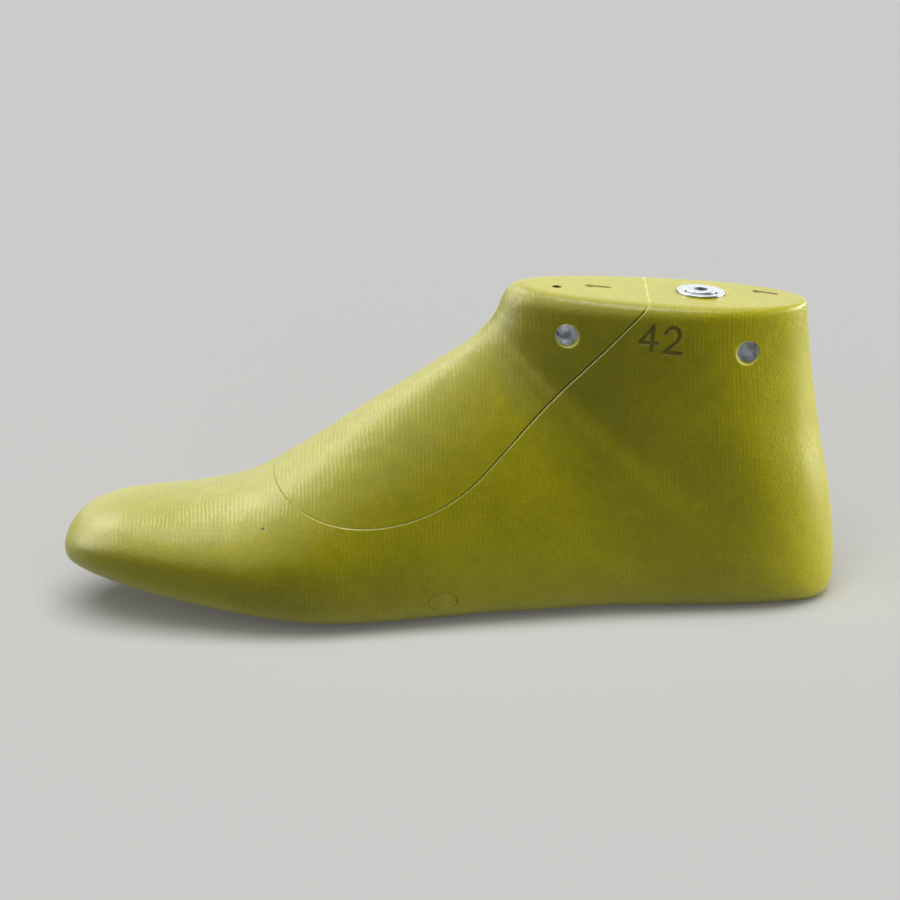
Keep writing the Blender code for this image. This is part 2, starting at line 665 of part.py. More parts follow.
def main():
    clear_scene()
    mesh = whole_last()
    body = last_piece("last_body", mesh)
    block = last_piece("instep_block", mesh.copy())
    probe = Probe(body)
    combine(body, as_cutter(extruded("block_room", block_outline(0.0), CUT_HALF_WIDTH)))
    combine(block, as_cutter(extruded("block_shape", block_outline(CUT_GAP), CUT_HALF_WIDTH)), "INTERSECT")

    front_tube = hook_tube("front_hook_tube", FRONT_HOOK_X, FRONT_HOOK_DEPTH, probe, block)
    rear_tube = hook_tube("rear_hook_tube", REAR_HOOK_X, REAR_HOOK_DEPTH, probe, body)
    thimble = jack_thimble(body)
    screw = thimble_screw()
    plug = waist_plug(probe, body)
    pin_hole = cylinder("pin_hole", PIN_HOLE_DIAMETER, 2 * PIN_HOLE_DEPTH, rim_matrix(*PIN_HOLE_PLACE))
    combine(block, as_cutter(pin_hole))
    stroke("block_stroke", BLOCK_STROKE, block)
    stroke("body_stroke", BODY_STROKE, body)
    tongue_pieces = tongue(body)
    keeper_pieces = keeper(block)

    plastic = finish("hdpe_olive", **PLASTIC)
    body.data.materials.append(plastic)
    block.data.materials.append(plastic)
    plug.data.materials.append(finish("plug_plastic", **PLUG_PLASTIC))
    zinc = finish("zinc_plated_steel", **ZINC)
    for obj in [thimble, screw] + tongue_pieces + keeper_pieces[:-1]:
        obj.data.materials.append(zinc)
    tube_steel = finish("drawn_steel_tube", **TUBE_STEEL)
    for obj in (front_tube, rear_tube):
        obj.data.materials.append(tube_steel)
    keeper_pieces[-1].data.materials.append(finish("spring_steel", **SPRING_STEEL))

    slide = bpy.data.objects.new("block_slide", None)
    slide.matrix_world = incline_matrix(0.0)
    collection(PARTS).objects.link(slide)
    bpy.context.view_layer.update()
    for obj in [block, front_tube] + keeper_pieces:
        obj.parent = slide
        obj.matrix_parent_inverse = slide.matrix_world.inverted()
    bpy.context.view_layer.update()


if __name__ == "__main__":
    main()
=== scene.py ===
"""Looks of a size 42 instep-block shoe last in turned polyethylene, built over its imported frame.

Lengths in the tables are millimetres. +X runs from toe to heel, the medial side faces -Y and +Z is up.
"""

import json
import math
from functools import partial

import bmesh
import bpy
import numpy as np
from bpy.props import FloatProperty, FloatVectorProperty, PointerProperty
from mathutils import Matrix, Vector
from mathutils.bvhtree import BVHTree


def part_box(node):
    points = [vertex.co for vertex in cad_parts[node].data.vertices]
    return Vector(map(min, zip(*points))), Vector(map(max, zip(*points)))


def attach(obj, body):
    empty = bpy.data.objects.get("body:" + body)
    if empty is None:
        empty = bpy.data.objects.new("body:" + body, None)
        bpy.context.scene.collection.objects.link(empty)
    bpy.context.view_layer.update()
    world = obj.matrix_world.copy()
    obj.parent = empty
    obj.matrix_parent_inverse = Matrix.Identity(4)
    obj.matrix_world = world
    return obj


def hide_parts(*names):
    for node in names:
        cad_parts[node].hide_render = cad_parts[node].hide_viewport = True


bl_info = {
    "name": "Instep Block Shoe Last",
    "version": (1, 0, 0),
    "blender": (4, 5, 0),
    "location": "View3D > Sidebar > Shoe Last",
    "description": "Builds a turned plastic shoe last with its block, thimble and hook tubes",
    "category": "Object",
}

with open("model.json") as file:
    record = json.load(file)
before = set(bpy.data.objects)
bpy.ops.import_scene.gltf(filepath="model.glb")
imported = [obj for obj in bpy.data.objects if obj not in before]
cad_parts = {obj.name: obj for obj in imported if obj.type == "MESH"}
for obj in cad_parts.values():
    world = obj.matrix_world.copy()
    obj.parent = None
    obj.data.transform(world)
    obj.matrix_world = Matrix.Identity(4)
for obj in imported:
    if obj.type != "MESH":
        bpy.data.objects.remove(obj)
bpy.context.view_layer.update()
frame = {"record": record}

MM = 0.001
UP = Vector((0.0, 0.0, 1.0))
SMOOTH_BELOW = math.radians(35.0)

# Stations of the last, from the toe over the ball and round the heel to the cone's rim:
# bottom_x bottom_z top_x top_z medial lateral belly ridge sole dome
STATIONS = np.array([
    (-140.3, 24.0, -140.3, 24.0, 0.0, 0.0, 0.0, -3.0, 2.0, 2.0),
    (-138.4, 20.0, -138.4, 31.3, 13.5, 12.0, 6.0, -3.0, 2.0, 2.0),
    (-132.0, 17.2, -132.0, 37.8, 24.5, 21.5, 11.0, -3.0, 2.2, 2.1),
    (-121.5, 14.6, -121.5, 41.4, 32.5, 31.0, 13.0, -3.0, 2.5, 2.2),
    (-107.5, 11.4, -108.0, 42.8, 38.5, 37.5, 14.5, -4.0, 2.8, 2.2),
    (-89.5, 7.8, -91.0, 44.0, 43.5, 42.5, 15.5, -5.0, 3.0, 2.2),
    (-69.5, 3.9, -71.5, 49.0, 47.3, 46.0, 16.0, -6.0, 3.0, 2.1),
    (-49.0, 0.8, -51.5, 60.6, 48.0, 48.0, 17.0, -6.0, 3.0, 2.0),
    (-28.0, -0.3, -33.5, 72.4, 45.3, 48.2, 18.5, -6.0, 3.0, 1.95),
    (-7.0, -0.3, -19.0, 81.2, 42.5, 47.0, 21.0, -5.0, 2.9, 1.95),
    (14.0, 0.2, -8.0, 87.9, 39.5, 43.5, 23.0, -4.0, 2.9, 2.0),
    (36.0, 0.4, 0.0, 92.6, 37.0, 39.5, 25.0, -3.0, 2.9, 2.05),
    (59.0, 0.3, 6.0, 96.1, 34.5, 36.0, 27.0, -2.0, 2.7, 2.1),
    (82.0, -0.5, 10.5, 99.3, 32.5, 33.5, 28.0, -1.0, 2.7, 2.1),
    (103.0, -0.9, 13.5, 101.9, 32.0, 32.5, 31.0, 0.0, 2.7, 2.1),
    (121.0, -1.0, 15.5, 104.1, 32.0, 32.0, 36.0, 0.0, 2.5, 2.1),
    (133.6, -0.6, 16.8, 105.5, 31.5, 31.5, 42.0, 0.0, 2.2, 2.1),
    (139.3, 5.0, 17.6, 106.6, 31.0, 31.0, 46.0, 0.0, 2.1, 2.1),
    (140.3, 20.0, 18.3, 107.7, 30.5, 30.5, 46.0, 0.0, 2.1, 2.1),
    (138.6, 41.0, 18.9, 108.8, 29.5, 29.0, 46.0, 0.0, 2.1, 2.1),
    (135.0, 64.0, 19.6, 110.0, 28.0, 27.0, 46.0, 0.0, 2.0, 2.1),
    (132.3, 88.0, 20.5, 112.2, 26.5, 24.5, 46.0, 0.0, 1.95, 2.1),
    (130.6, 110.4, 23.5, 119.5, 24.0, 21.5, 47.0, 0.0, 2.0, 2.2),
])
RINGS_A_SPAN = 12
POINTS_A_QUARTER = 38
QUARTER_SAMPLES = 400
WALL_SAMPLES = 40
RIM_STEPS = 7
RIM_BACK_SHARE = 0.25  # how soft the rim is at its back, of what it is in front
LATHE_AXIS = 0.026  # height of the axis that the last was turned about, in metres

# The cut that frees the instep block: a straight incline, then a scoop of two arcs
CUT_TOP_X = 73.5
CUT_ANGLE = math.radians(44.0)
CUT_ALONG = Vector((math.cos(CUT_ANGLE), math.sin(CUT_ANGLE)))
CUT_OUT = Vector((-math.sin(CUT_ANGLE), math.cos(CUT_ANGLE)))
CUT_LENGTH = 83.4
SCOOP_REAR_RADIUS = 60.0
SCOOP_FRONT_RADIUS = 52.5
SCOOP_FRONT_SWEEP = math.radians(62.0)
ARC_STEP = math.radians(1.5)
CUT_HALF_WIDTH = 60.0
TOP_GRIP = 3.0
# The pale sawn edge is partly a painted highlight along the cut
BLOCK_EDGE = 0.3  # how much narrower the block's pale sawn edge is than the body's
CUT_ROOF = 150.0
OVERRUN = 5.0
FIT = 0.3
FLUSH = 0.2

# Marks on the cone top, placed by x, y and turn in degrees
PIN_HOLE = (40.7, -3.3)
PIN_HOLE_DIAMETER = 3.4
PIN_MOUTH = 3.6
PIN_HOLE_DEPTH = 8.0
PIN_FLARE = 0.5
PIN_NECK = 0.2
BLOCK_STROKE = (55.7, 0.3, -8.6)
BODY_STROKE = (116.2, 5.5, -19.4)
STROKE_LENGTH = 9.5
STROKE_END = 0.8  # from the stroke's end to the last middle of its round tool
STROKE_SERIF = (1.3, -1.5)
DOME_DEGREES = (30, 60)  # where a round tool's domed ends have rings

# A dark pit in the forepart's skin
DARK_PIT = (-66.3, -37.7, 40.3)

# Size number cut into the cone's medial side
NUMERAL_START = (69.0, 99.6)
NUMERAL_WIDTH = 6.0
NUMERAL_GAP = 2.6
NUMERAL_SLANT = 0.12
NUMERAL_SLOPE = -0.085
FIGURES = {
    "4": [[(0.72, 1.0), (0.0, 0.34)], [(0.0, 0.34), (1.0, 0.34)], [(0.72, 1.0), (0.72, 0.0)]],
    "2": [
        [(0.03, 0.76), (0.1, 0.92), (0.28, 1.0), (0.6, 1.0), (0.85, 0.9), (0.93, 0.72), (0.85, 0.52), (0.0, 0.0)],
        [(0.0, 0.0), (1.0, 0.0)],
    ],
}
SIZE_NUMBER = "42"
STROKE_POINTS = 16
STROKE_EASING = 12

# Oval plug of a filled hole, low in the waist on the medial side
PLUG_X = -2.7
PLUG_Z = 12.0
PLUG_WIDTH = 11.0
PLUG_HEIGHT = 7.8
PLUG_LENGTH = 9.0
PLUG_BELOW = 0.3
PLUG_GAP = 0.1
PLUG_EDGE = 0.35
PLUG_ROOM = 15.0

# Hook holes and their tubes, and the ring that eases a mouth: out from its edge and away from the last, in easings
HOOK_BORE = 8.0
TUBE_PLAY = 0.2
TUBE_EDGE = 0.1
MOUTH_STEPS = 50
MOUTH_PROFILE = ((1.1, 0.3), (0.0, -0.7), (-3.0, -0.7), (-3.0, 2.0), (1.1, 2.0))

# Thimble and its screw
FLANGE_THICKNESS = 1.2
FLANGE_PROUD = 0.8
SLEEVE_DIAMETER = 12.6
SLEEVE_LENGTH = 38.0
SLEEVE_BORE = 8.6
HEAD_DIAMETER = 11.0
HEAD_GAP = 0.5
HEAD_HEIGHT = 2.6
HEAD_PROUD = 0.5
COLLAR_WALL = 1.4
COLLAR_RADIUS = 0.5 * HEAD_DIAMETER + HEAD_GAP + COLLAR_WALL
COLLAR_ROOM = 4.0
SHANK_DIAMETER = 8.0
SHANK_LENGTH = 18.0
SHANK_CHAMFER = 1.0
DISH_DEPTH = 0.7
DISH_WIDTH = 0.5
SOCKET_WIDTH = 4.6
SOCKET_DEPTH = 1.8
TURNED_STEPS = 96
EASED_SHARE = 0.45  # of a side that an eased corner may take
AXIS_RADIUS = 1e-7  # of the circle that a profile is turned along, in metres
WELD = 2e-6  # distance within which its ends are merged, in metres

# Wood screws, in metres, and the part of a shank that is threaded, its start and the thread's radius in pitches
WOOD_SCREW = {
    "Head_Radius": 0.003, "Head_Depth": 0.0016, "Shank_Radius": 0.0015, "Length": 0.0149, "Tip": 0.003,
    "Slot_Width": 0.0008, "Slot_Depth": 0.0008, "Pitch": 0.0013,
}
THREADED = 0.6
THREAD_START = 0.62
THREAD_RADIUS = 0.3
COUNTERSINK = ((0.0, 1.0), (3.3, 1.0), (3.3, 0.0), (1.9, -1.5), (1.9, -4.0), (0.0, -4.0))
SCREW_ROOM = 3.8
BODY_SCREW_ROOM = (17.0, -8.0)  # length, and how far out from the incline its middle is
BLOCK_SCREW_ROOM = (26.0, 9.2)

# Tongue, keeper and spring, measured along the incline from its foot
TONGUE_START = 5.0
TONGUE_LENGTH = 48.0
TONGUE_MIDDLE = TONGUE_START + 0.5 * TONGUE_LENGTH
TONGUE_WIDTH = 16.0
TONGUE_THICKNESS = 2.0
RAIL_LENGTH = 28.0
RAIL_WEB = 3.0
RAIL_HEAD_WIDTH = 9.0
RAIL_HEAD_THICKNESS = 2.0
KEEPER_START = -2.0
KEEPER_LENGTH = 48.0
KEEPER_LOW = 0.6
KEEPER_LIP = 1.5
KEEPER_WALL = 1.8
KEEPER_FLOOR = 2.0
KEEPER_CAVITY = 4.6
KEEPER_RUNOUT = 45.0
KEEPER_SCREWS = (4.0, 40.0)
TONGUE_SCREWS = (10.0, 48.0)
ACCESS_DIAMETER = 7.0
SPRING_LENGTH = 22.0
SPRING_WIDTH = 7.0
SPRING_THICKNESS = 0.5
SPRING_STEPS = 24
SPRING_EDGE = 0.1

# Painted shade on the sides of the last, where they lie in less light, in the XZ plane: middle, half width and half
# height, and shade
PAINTED_SHADE_MARKS = (((58.0, 102.0), (52.0, 40.0), 0.82), ((-42.0, 19.0), (46.0, 15.0), 0.84))

# Share of its grey that the paper throws back on the object, and the share that it shows even in shadow
PAPER_BOUNCE = 0.55
PAPER_GLOW = 0.1

# Softboxes far off: direction towards each, strength, breadth in degrees, and what it lights. The paper has lamps
# of its own, which set the shadow under the last, and so have the tubes in their deep holes. The others light all
# but the paper: "last" in full, "matte" without a sheen, and "sheen" with nothing else.
LAMPS = (
    ("paper_high", (0.0, -0.3, 0.95), 2.14, 60.0, "paper"),
    ("paper_front", (0.0, -0.87, 0.5), 1.28, 60.0, "paper"),
    ("overhead", (0.02, 0.05, 1.0), 2.0, 32.0, "last"),
    ("heel_side", (0.965, 0.09, 0.11), 4.9, 50.0, "matte"),
    ("toe_side", (-0.75, 0.32, 0.42), 1.5, 80.0, "last"),
    ("back_sheen", (0.0, 0.88, 0.42), 1.25, 62.0, "sheen"),
    ("toe_sheen", (-0.86, 0.16, 0.48), 2.8, 56.0, "sheen"),
    ("toe_streak", (-0.4, 0.56, 0.73), 0.9, 24.0, "sheen"),
    ("top_sheen", (-0.45, 0.2, 0.87), 0.35, 60.0, "sheen"),
    ("front_sheen", (-0.35, -0.6, 0.72), 0.68, 50.0, "sheen"),
    ("heel_sheen", (0.88, 0.46, 0.12), 6.5, 44.0, "sheen"),
    ("tube_lamp", (0.0, -0.9, 0.4), 9.0, 40.0, "tubes"),
)

# World, floor and camera: lens and sensor in millimetres, aim and distance in metres, shift in pixels
SKY_STRENGTH = 0.04
FLOOR_HALF = 8.0
FLOOR_GAP = 0.00005
ELEVATION = math.radians(17.0)
ROLL = math.radians(1.35)
LENS = 176.0
SENSOR = 36.0
AIM = Vector((0.0, 0.0, 0.057))
DISTANCE = 1.6
PICTURE_WIDTH = 900
PICTURE_SHIFT = (3, -1)


def paint(text):
    """Linear colour of an sRGB hex value."""
    channels = [int(text[i:i + 2], 16) / 255 for i in (1, 3, 5)]
    return tuple(c / 12.92 if c <= 0.04045 else ((c + 0.055) / 1.055) ** 2.4 for c in channels)


Length = partial(FloatProperty, unit="LENGTH")
Colour = partial(FloatVectorProperty, subtype="COLOR")


class LastSizes(bpy.types.PropertyGroup):
    """Sizes of the last that its maker would set."""

    incline_gap: Length(name="Incline Gap", description="Saw kerf between block and body", default=0.0005)
    scoop_gap: Length(name="Scoop Gap", description="Gap along the front of the cut", default=0.00008)
    top_gap: Length(name="Top Gap", description="Gap where the block bears on the body at the top", default=0.00006)
    rim_radius: Length(name="Rim Radius", description="Rounding of the cone's rim", default=0.006)
    ridge_pitch: Length(name="Ridge Pitch", description="Feed of the turning lathe for a turn", default=0.0015)
    ridge_depth: Length(name="Ridge Depth", description="Height of the turning ridges", default=0.00012)
    bite_pitch: Length(name="Bite Pitch", description="Distance between the cutter's bites", default=0.0014)
    mark_width: Length(name="Mark Width", description="Width of the match marks", default=0.0021)
    numeral_width: Length(name="Numeral Width", description="Width of the size number's strokes", default=0.0018)
    numeral_height: Length(name="Numeral Height", description="Height of the size number", default=0.009)
    engraving_depth: Length(name="Engraving Depth", description="Depth of the number and the marks", default=0.0006)
    hole_edge: Length(name="Hole Edge", description="Easing of the hook holes' mouths", default=0.0005)
    hole_lip: Length(name="Hole Lip", description="Plastic drawn over each end of a hook tube", default=0.0006)
    steel_edge: Length(name="Steel Edge", description="Rounding of the steel fittings' edges", default=0.0003)


class LastColours(bpy.types.PropertyGroup):
    """Colours of the last's materials and of the stage."""

    plastic: Colour(name="Plastic", description="Turned polyethylene", default=paint("#B4AE04"))
    # Also mixed into the skin along the cut, partly as a painted highlight
    sawn: Colour(name="Sawn Plastic", description="Polyethylene where it is sawn", default=paint("#D6D254"))
    # Darker partly for dirt and partly as painted shade in the grooves of the marks and the pin hole
    stamped: Colour(name="Stamped Plastic", description="Dirty grooves of the marks", default=paint("#867E0E"))
    plug: Colour(name="Plug", description="Plug of the filled hole", default=paint("#B0AA10"))
    zinc: Colour(name="Zinc", description="Bright zinc plate", default=paint("#B8BBBE"))
    tube: Colour(name="Tube Steel", description="Drawn steel of the hook tubes", default=paint("#C8CCD2"))
    spring: Colour(name="Spring Steel", description="Tempered spring strip", default=paint("#77787E"))
    paper: Colour(name="Paper", description="Floor and backdrop", default=paint("#CCCCCA"))


def sizes():
    return bpy.context.scene.last_sizes


def colours():
    return bpy.context.scene.last_colours


def add_node(tree, kind, *values, **named):
    """Adds a node. A kind that names no other family is a shader node, and may end in its operation, after a dot.

    The values fill its first inputs, in their order in the node: Map Range takes its value, then from, from, to, to.
    Names with a capital are inputs too, with _ for a space, and the others are settings. An input takes a value, a
    socket, or a node's first output.
    """
    kind, _, operation = kind.partition(".")
    node = tree.nodes.new(kind if "Node" in kind else "ShaderNode" + kind)
    if operation:
        node.operation = operation
    filled = list(zip(node.inputs, values))
    for key, value in named.items():
        if key[0].islower():
            setattr(node, key, value)
        else:
            filled.append((next(s for s in node.inputs if key in (s.identifier, s.name.replace(" ", "_"))), value))
    for socket, value in filled:
        if isinstance(value, bpy.types.Node):
            value = value.outputs[0]
        if isinstance(value, bpy.types.NodeSocket):
            tree.links.new(value, socket)
        else:
            socket.default_value = value
    return node


def new_material(name):
    """An empty material, and the function that adds its nodes."""
    mat = bpy.data.materials.new(name)
    mat.use_nodes = True
    mat.node_tree.nodes.clear()
    return mat, partial(add_node, mat.node_tree)


def new_tree(name, **inputs):
    """A Geometry Nodes tree with a geometry and these inputs, the function that adds its nodes, and its inputs."""
    tree = bpy.data.node_groups.new(name, "GeometryNodeTree")
    for key, kind in (("Geometry", "Geometry"), *inputs.items()):
        tree.interface.new_socket(key.replace("_", " "), in_out="INPUT", socket_type="NodeSocket" + kind)
    tree.interface.new_socket("Geometry", in_out="OUTPUT", socket_type="NodeSocketGeometry")
    add = partial(add_node, tree)
    return tree, add, add("NodeGroupInput").outputs


# Meshes

def add_object(name, mesh):
    obj = bpy.data.objects.new(name, mesh)
    bpy.context.scene.collection.objects.link(obj)
    return obj


def to_object(bm, name, matrix=Matrix.Identity(4)):
    """An object at the origin with the bmesh placed by the matrix."""
    bmesh.ops.transform(bm, matrix=matrix, verts=bm.verts)
    bmesh.ops.recalc_face_normals(bm, faces=bm.faces[:])
    mesh = bpy.data.meshes.new(name)
    bm.to_mesh(mesh)
    bm.free()
    mesh.shade_smooth()
    mesh.set_sharp_from_angle(angle=SMOOTH_BELOW)
    return add_object(name, mesh)


def baked(obj):
    """Applies the object's modifiers, which leaves a plain mesh."""
    graph = bpy.context.evaluated_depsgraph_get()
    mesh = bpy.data.meshes.new_from_object(obj.evaluated_get(graph))
    obj.modifiers.clear()
    old = obj.data
    obj.data = mesh
    bpy.data.meshes.remove(old)
    mesh.name = obj.name
    mesh.shade_smooth()
    mesh.set_sharp_from_angle(angle=SMOOTH_BELOW)
    return obj


def drop(objects):
    for obj in objects:
        bpy.data.objects.remove(obj, do_unlink=True)


def cut(target, tools, face, operation="DIFFERENCE"):
    """Cuts the tools out of the target, joins them or keeps what they share. New faces get the face material."""
    for tool in tools:
        tool.data.materials.clear()
        tool.data.materials.append(face)
        mod = target.modifiers.new(tool.name, "BOOLEAN")
        mod.operation = operation
        mod.solver = "EXACT"
        mod.material_mode = "TRANSFER"
        mod.object = tool
    baked(target)
    drop(tools)


def rod(name, diameter, length, matrix, steps=64, squash=1.0, edge=0.0):
    """A cylinder or oval prism along the matrix's Z axis, centred on it, with its ends eased."""
    bm = bmesh.new()
    radius = 0.5 * diameter * MM
    bmesh.ops.create_cone(bm, cap_ends=True, segments=steps, radius1=radius, radius2=radius, depth=length * MM)
    bmesh.ops.scale(bm, vec=(1.0, squash, 1.0), verts=bm.verts)
    if edge:
        caps = [e for e in bm.edges if any(len(f.verts) > 4 for f in e.link_faces)]
        bmesh.ops.bevel(bm, geom=caps, offset=edge * MM, segments=3, profile=0.5, affect="EDGES")
    return to_object(bm, name, matrix)


def skin(bm, rings):
    """Faces between each ring of vertices and the next."""
    for a, b in zip(rings, rings[1:]):
        for j in range(len(a)):
            k = (j + 1) % len(a)
            bm.faces.new((a[j], a[k], b[k], b[j]))


def fan(bm, ring, tip):
    """Faces from a ring of vertices to one tip."""
    for j in range(len(ring)):
        bm.faces.new((tip, ring[j], ring[(j + 1) % len(ring)]))


def prism(name, outline, half_width, matrix=Matrix.Identity(4)):
    """A flat outline of (x, z) points, thickened to both sides along Y."""
    bm = bmesh.new()
    near, far = ([bm.verts.new((x * MM, y * MM, z * MM)) for x, z in outline] for y in (-half_width, half_width))
    bm.faces.new(near)
    bm.faces.new(reversed(far))
    skin(bm, [near, far])
    return to_object(bm, name, matrix)


def sweep(name, path, radius, steps=14):
    """A round bar through the path's points, with dome ends."""
    bm = bmesh.new()
    rings = []
    final = len(path) - 1
    for i, point in enumerate(path):
        ahead = (path[min(i + 1, final)] - path[max(i - 1, 0)]).normalized()
        side = (side - ahead * side.dot(ahead) if rings else ahead.orthogonal()).normalized()
        across = ahead.cross(side)
        turns = [2 * math.pi * j / steps for j in range(steps)]
        ring = [bm.verts.new(point + radius * (math.cos(a) * side + math.sin(a) * across)) for a in turns]
        rings.append(ring)
        if i in (0, final):
            end = (-radius if i == 0 else radius) * ahead
            layers = [ring]
            for b in map(math.radians, DOME_DEGREES):
                layers.append([bm.verts.new(point + end * math.sin(b) + (v.co - point) * math.cos(b)) for v in ring])
            skin(bm, layers)
            fan(bm, layers[-1], bm.verts.new(point + end))
    skin(bm, rings)
    return to_object(bm, name)


# The last's form

def station_at(t):
    """The station at t, on a Catmull-Rom curve through the table."""
    final = len(STATIONS) - 1
    i = min(int(t), final - 1)
    f = t - i
    p1, p2 = STATIONS[i], STATIONS[i + 1]
    p0 = STATIONS[i - 1] if i > 0 else 2 * p1 - p2
    p3 = STATIONS[i + 2] if i + 2 <= final else 2 * p2 - p1
    slope = 0.5 * (p2 - p0)
    bend = p0 - 2.5 * p1 + 2 * p2 - 0.5 * p3
    twist = 1.5 * (p1 - p2) + 0.5 * (p3 - p0)
    values = p1 + slope * f + bend * f**2 + twist * f**3
    if i == 0:
        values[[0, 2]] = p1[[0, 2]] + (p2 - p1)[[0, 2]] * f**2
    return values


def quarter(width, height, power, count):
    """Evenly spaced points of a superellipse quarter, from (0, height) to (width, 0), without the last."""
    a = np.linspace(0.0, 0.5 * math.pi, QUARTER_SAMPLES)
    across = width * np.sin(a).clip(0) ** (2 / power)
    up = height * np.cos(a).clip(0) ** (2 / power)
    run = np.append(0.0, np.cumsum(np.hypot(np.diff(across), np.diff(up))))
    want = run[-1] * np.arange(count) / count
    return np.interp(want, run, across), np.interp(want, run, up)


def section(t, count):
    """The closed ring of one station, from its top point round the lateral side and back by the medial."""
    bottom_x, bottom_z, top_x, top_z, medial, lateral, belly, ridge, sole, dome = station_at(t)
    foot = np.array((bottom_x, bottom_z))
    rise = np.array((top_x, top_z)) - foot
    length = np.linalg.norm(rise)
    up = rise / max(length, 1e-9)
    head = length - belly
    out, high = quarter(lateral - ridge, head, dome, count)
    y = [ridge + out]
    h = [belly + high]
    out, high = quarter(lateral, belly, sole, count)
    y += [[lateral], out[:0:-1]]
    h += [[belly], belly - high[:0:-1]]
    out, high = quarter(medial, belly, sole, count)
    y += [-out, [-medial]]
    h += [belly - high, [belly]]
    out, high = quarter(medial + ridge, head, dome, count)
    y.append(ridge - out[:0:-1])
    h.append(belly + high[:0:-1])
    y = np.concatenate(y)
    h = np.concatenate(h)
    return np.column_stack((foot[0] + up[0] * h, y, foot[1] + up[1] * h))


def rim_rings(count):
    """Rings of the last span, whose wall turns over a soft rim into the flat cone top."""
    spans = len(STATIONS) - 1
    wall = np.array([section(spans - 1 + k / WALL_SAMPLES, count) for k in range(WALL_SAMPLES + 1)])
    rim = wall[-1]
    down = np.linalg.norm(np.diff(wall, axis=0), axis=2)[::-1].cumsum(axis=0)[::-1]
    down = np.vstack((down, np.zeros(len(rim))))
    front, back = rim[:, 0].min(), rim[:, 0].max()
    weight = 1 - (1 - RIM_BACK_SHARE) * ((rim[:, 0] - front) / (back - front)) ** 3
    reach = sizes().rim_radius / MM * weight
    start = np.array([np.interp(reach[j], down[::-1, j], np.arange(WALL_SAMPLES, -1, -1)) for j in range(len(rim))])
    rings = []
    for k in range(1, RINGS_A_SPAN + 1):
        at = start * k / RINGS_A_SPAN
        low = np.minimum(at.astype(int), WALL_SAMPLES - 1)
        share = (at - low)[:, None]
        columns = np.arange(len(rim))
        rings.append(wall[low, columns] * (1 - share) + wall[low + 1, columns] * share)
    along = np.roll(rim, -1, axis=0) - np.roll(rim, 1, axis=0)
    inward = np.cross(np.array(top_normal()), along)
    inward *= np.sign((inward * (rim.mean(axis=0) - rim)).sum(axis=1))[:, None]
    inward /= np.linalg.norm(inward, axis=1)[:, None]
    flat = rim + inward * reach[:, None]
    for k in range(1, RIM_STEPS + 1):
        s = k / RIM_STEPS
        rings.append((1 - s) ** 2 * rings[RINGS_A_SPAN - 1] + 2 * s * (1 - s) * rim + s**2 * flat)
    rings.append(flat + inward * FIT)
    return rings


def whole_last(name):
    """The last before it is cut, ground flat under the tread and the heel seat."""
    spans = len(STATIONS) - 1
    rings = [section(i / RINGS_A_SPAN, POINTS_A_QUARTER) for i in range(1, (spans - 1) * RINGS_A_SPAN + 1)]
    rings += rim_rings(POINTS_A_QUARTER)
    bm = bmesh.new()
    toe = STATIONS[0]
    tip = bm.verts.new(Vector((toe[0], toe[7], toe[1])) * MM)
    loops = [[bm.verts.new(p * MM) for p in ring] for ring in rings]
    fan(bm, loops[0], tip)
    skin(bm, loops)
    bm.faces.new(loops[-1])
    whole = bm.verts[:] + bm.edges[:] + bm.faces[:]
    ground = bmesh.ops.bisect_plane(bm, geom=whole, plane_co=(0, 0, 0), plane_no=(0, 0, -1), clear_outer=True)
    bmesh.ops.holes_fill(bm, edges=[e for e in ground["geom_cut"] if isinstance(e, bmesh.types.BMEdge)])
    return to_object(bm, name)


def cone_top():
    """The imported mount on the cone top: a point of its plane and the plane's normal."""
    mount = next(m for m in frame["record"]["mounts"] if m["name"] == "cone_top")
    return Vector(mount["pos_m"]), Vector(mount["axis"]).normalized()


def top_normal():
    return cone_top()[1]


def rim_height(x):
    """Height of the cone top's plane at x, both in millimetres."""
    point, normal = cone_top()
    return point.z / MM - (x - point.x / MM) * normal.x / normal.z


def rim_matrix(x, y, turn=0.0):
    """A frame on the cone top, with Z along its normal."""
    tilt = math.atan2(top_normal().x, top_normal().z)
    place = Matrix.Translation(Vector((x, y, rim_height(x))) * MM)
    return place @ Matrix.Rotation(tilt, 4, "Y") @ Matrix.Rotation(math.radians(turn), 4, "Z")


def cut_foot():
    """Lower end of the cut's straight incline."""
    top = Vector((CUT_TOP_X, rim_height(CUT_TOP_X)))
    return top - CUT_LENGTH * CUT_ALONG


def scoop_centres():
    """Middles of the scoop's rear and front arcs."""
    rear = cut_foot() + SCOOP_REAR_RADIUS * CUT_OUT
    return rear, rear + Vector((0.0, SCOOP_FRONT_RADIUS - SCOOP_REAR_RADIUS))


def incline_matrix(along, out=0.0):
    """A frame on the incline: X up and back along it, Z square to it, into the block."""
    foot = cut_foot()
    start = Matrix.Translation(Vector((foot.x, 0.0, foot.y)) * MM) @ Matrix.Rotation(-CUT_ANGLE, 4, "Y")
    return start @ Matrix.Translation(Vector((along, 0.0, out)) * MM)


def slab(name, long, wide, low, high, middle, edge=0.0):
    """A box along the incline, from low to high above it and centred on the middle, with its edges eased."""
    bm = bmesh.new()
    bmesh.ops.create_cube(bm, size=1.0)
    bmesh.ops.scale(bm, vec=Vector((long, wide, high - low)) * MM, verts=bm.verts)
    if edge:
        bmesh.ops.bevel(bm, geom=bm.edges[:], offset=edge, segments=2, profile=0.5, affect="EDGES")
    return to_object(bm, name, incline_matrix(middle, 0.5 * (low + high)))


def arc(centre, radius, start, end):
    """Points from start to end, angles from straight down with the heel's side positive."""
    steps = max(1, round(abs(end - start) / ARC_STEP))
    angles = [start + (end - start) * i / steps for i in range(steps + 1)]
    return [(centre.x + radius * math.sin(a), centre.y - radius * math.cos(a)) for a in angles]


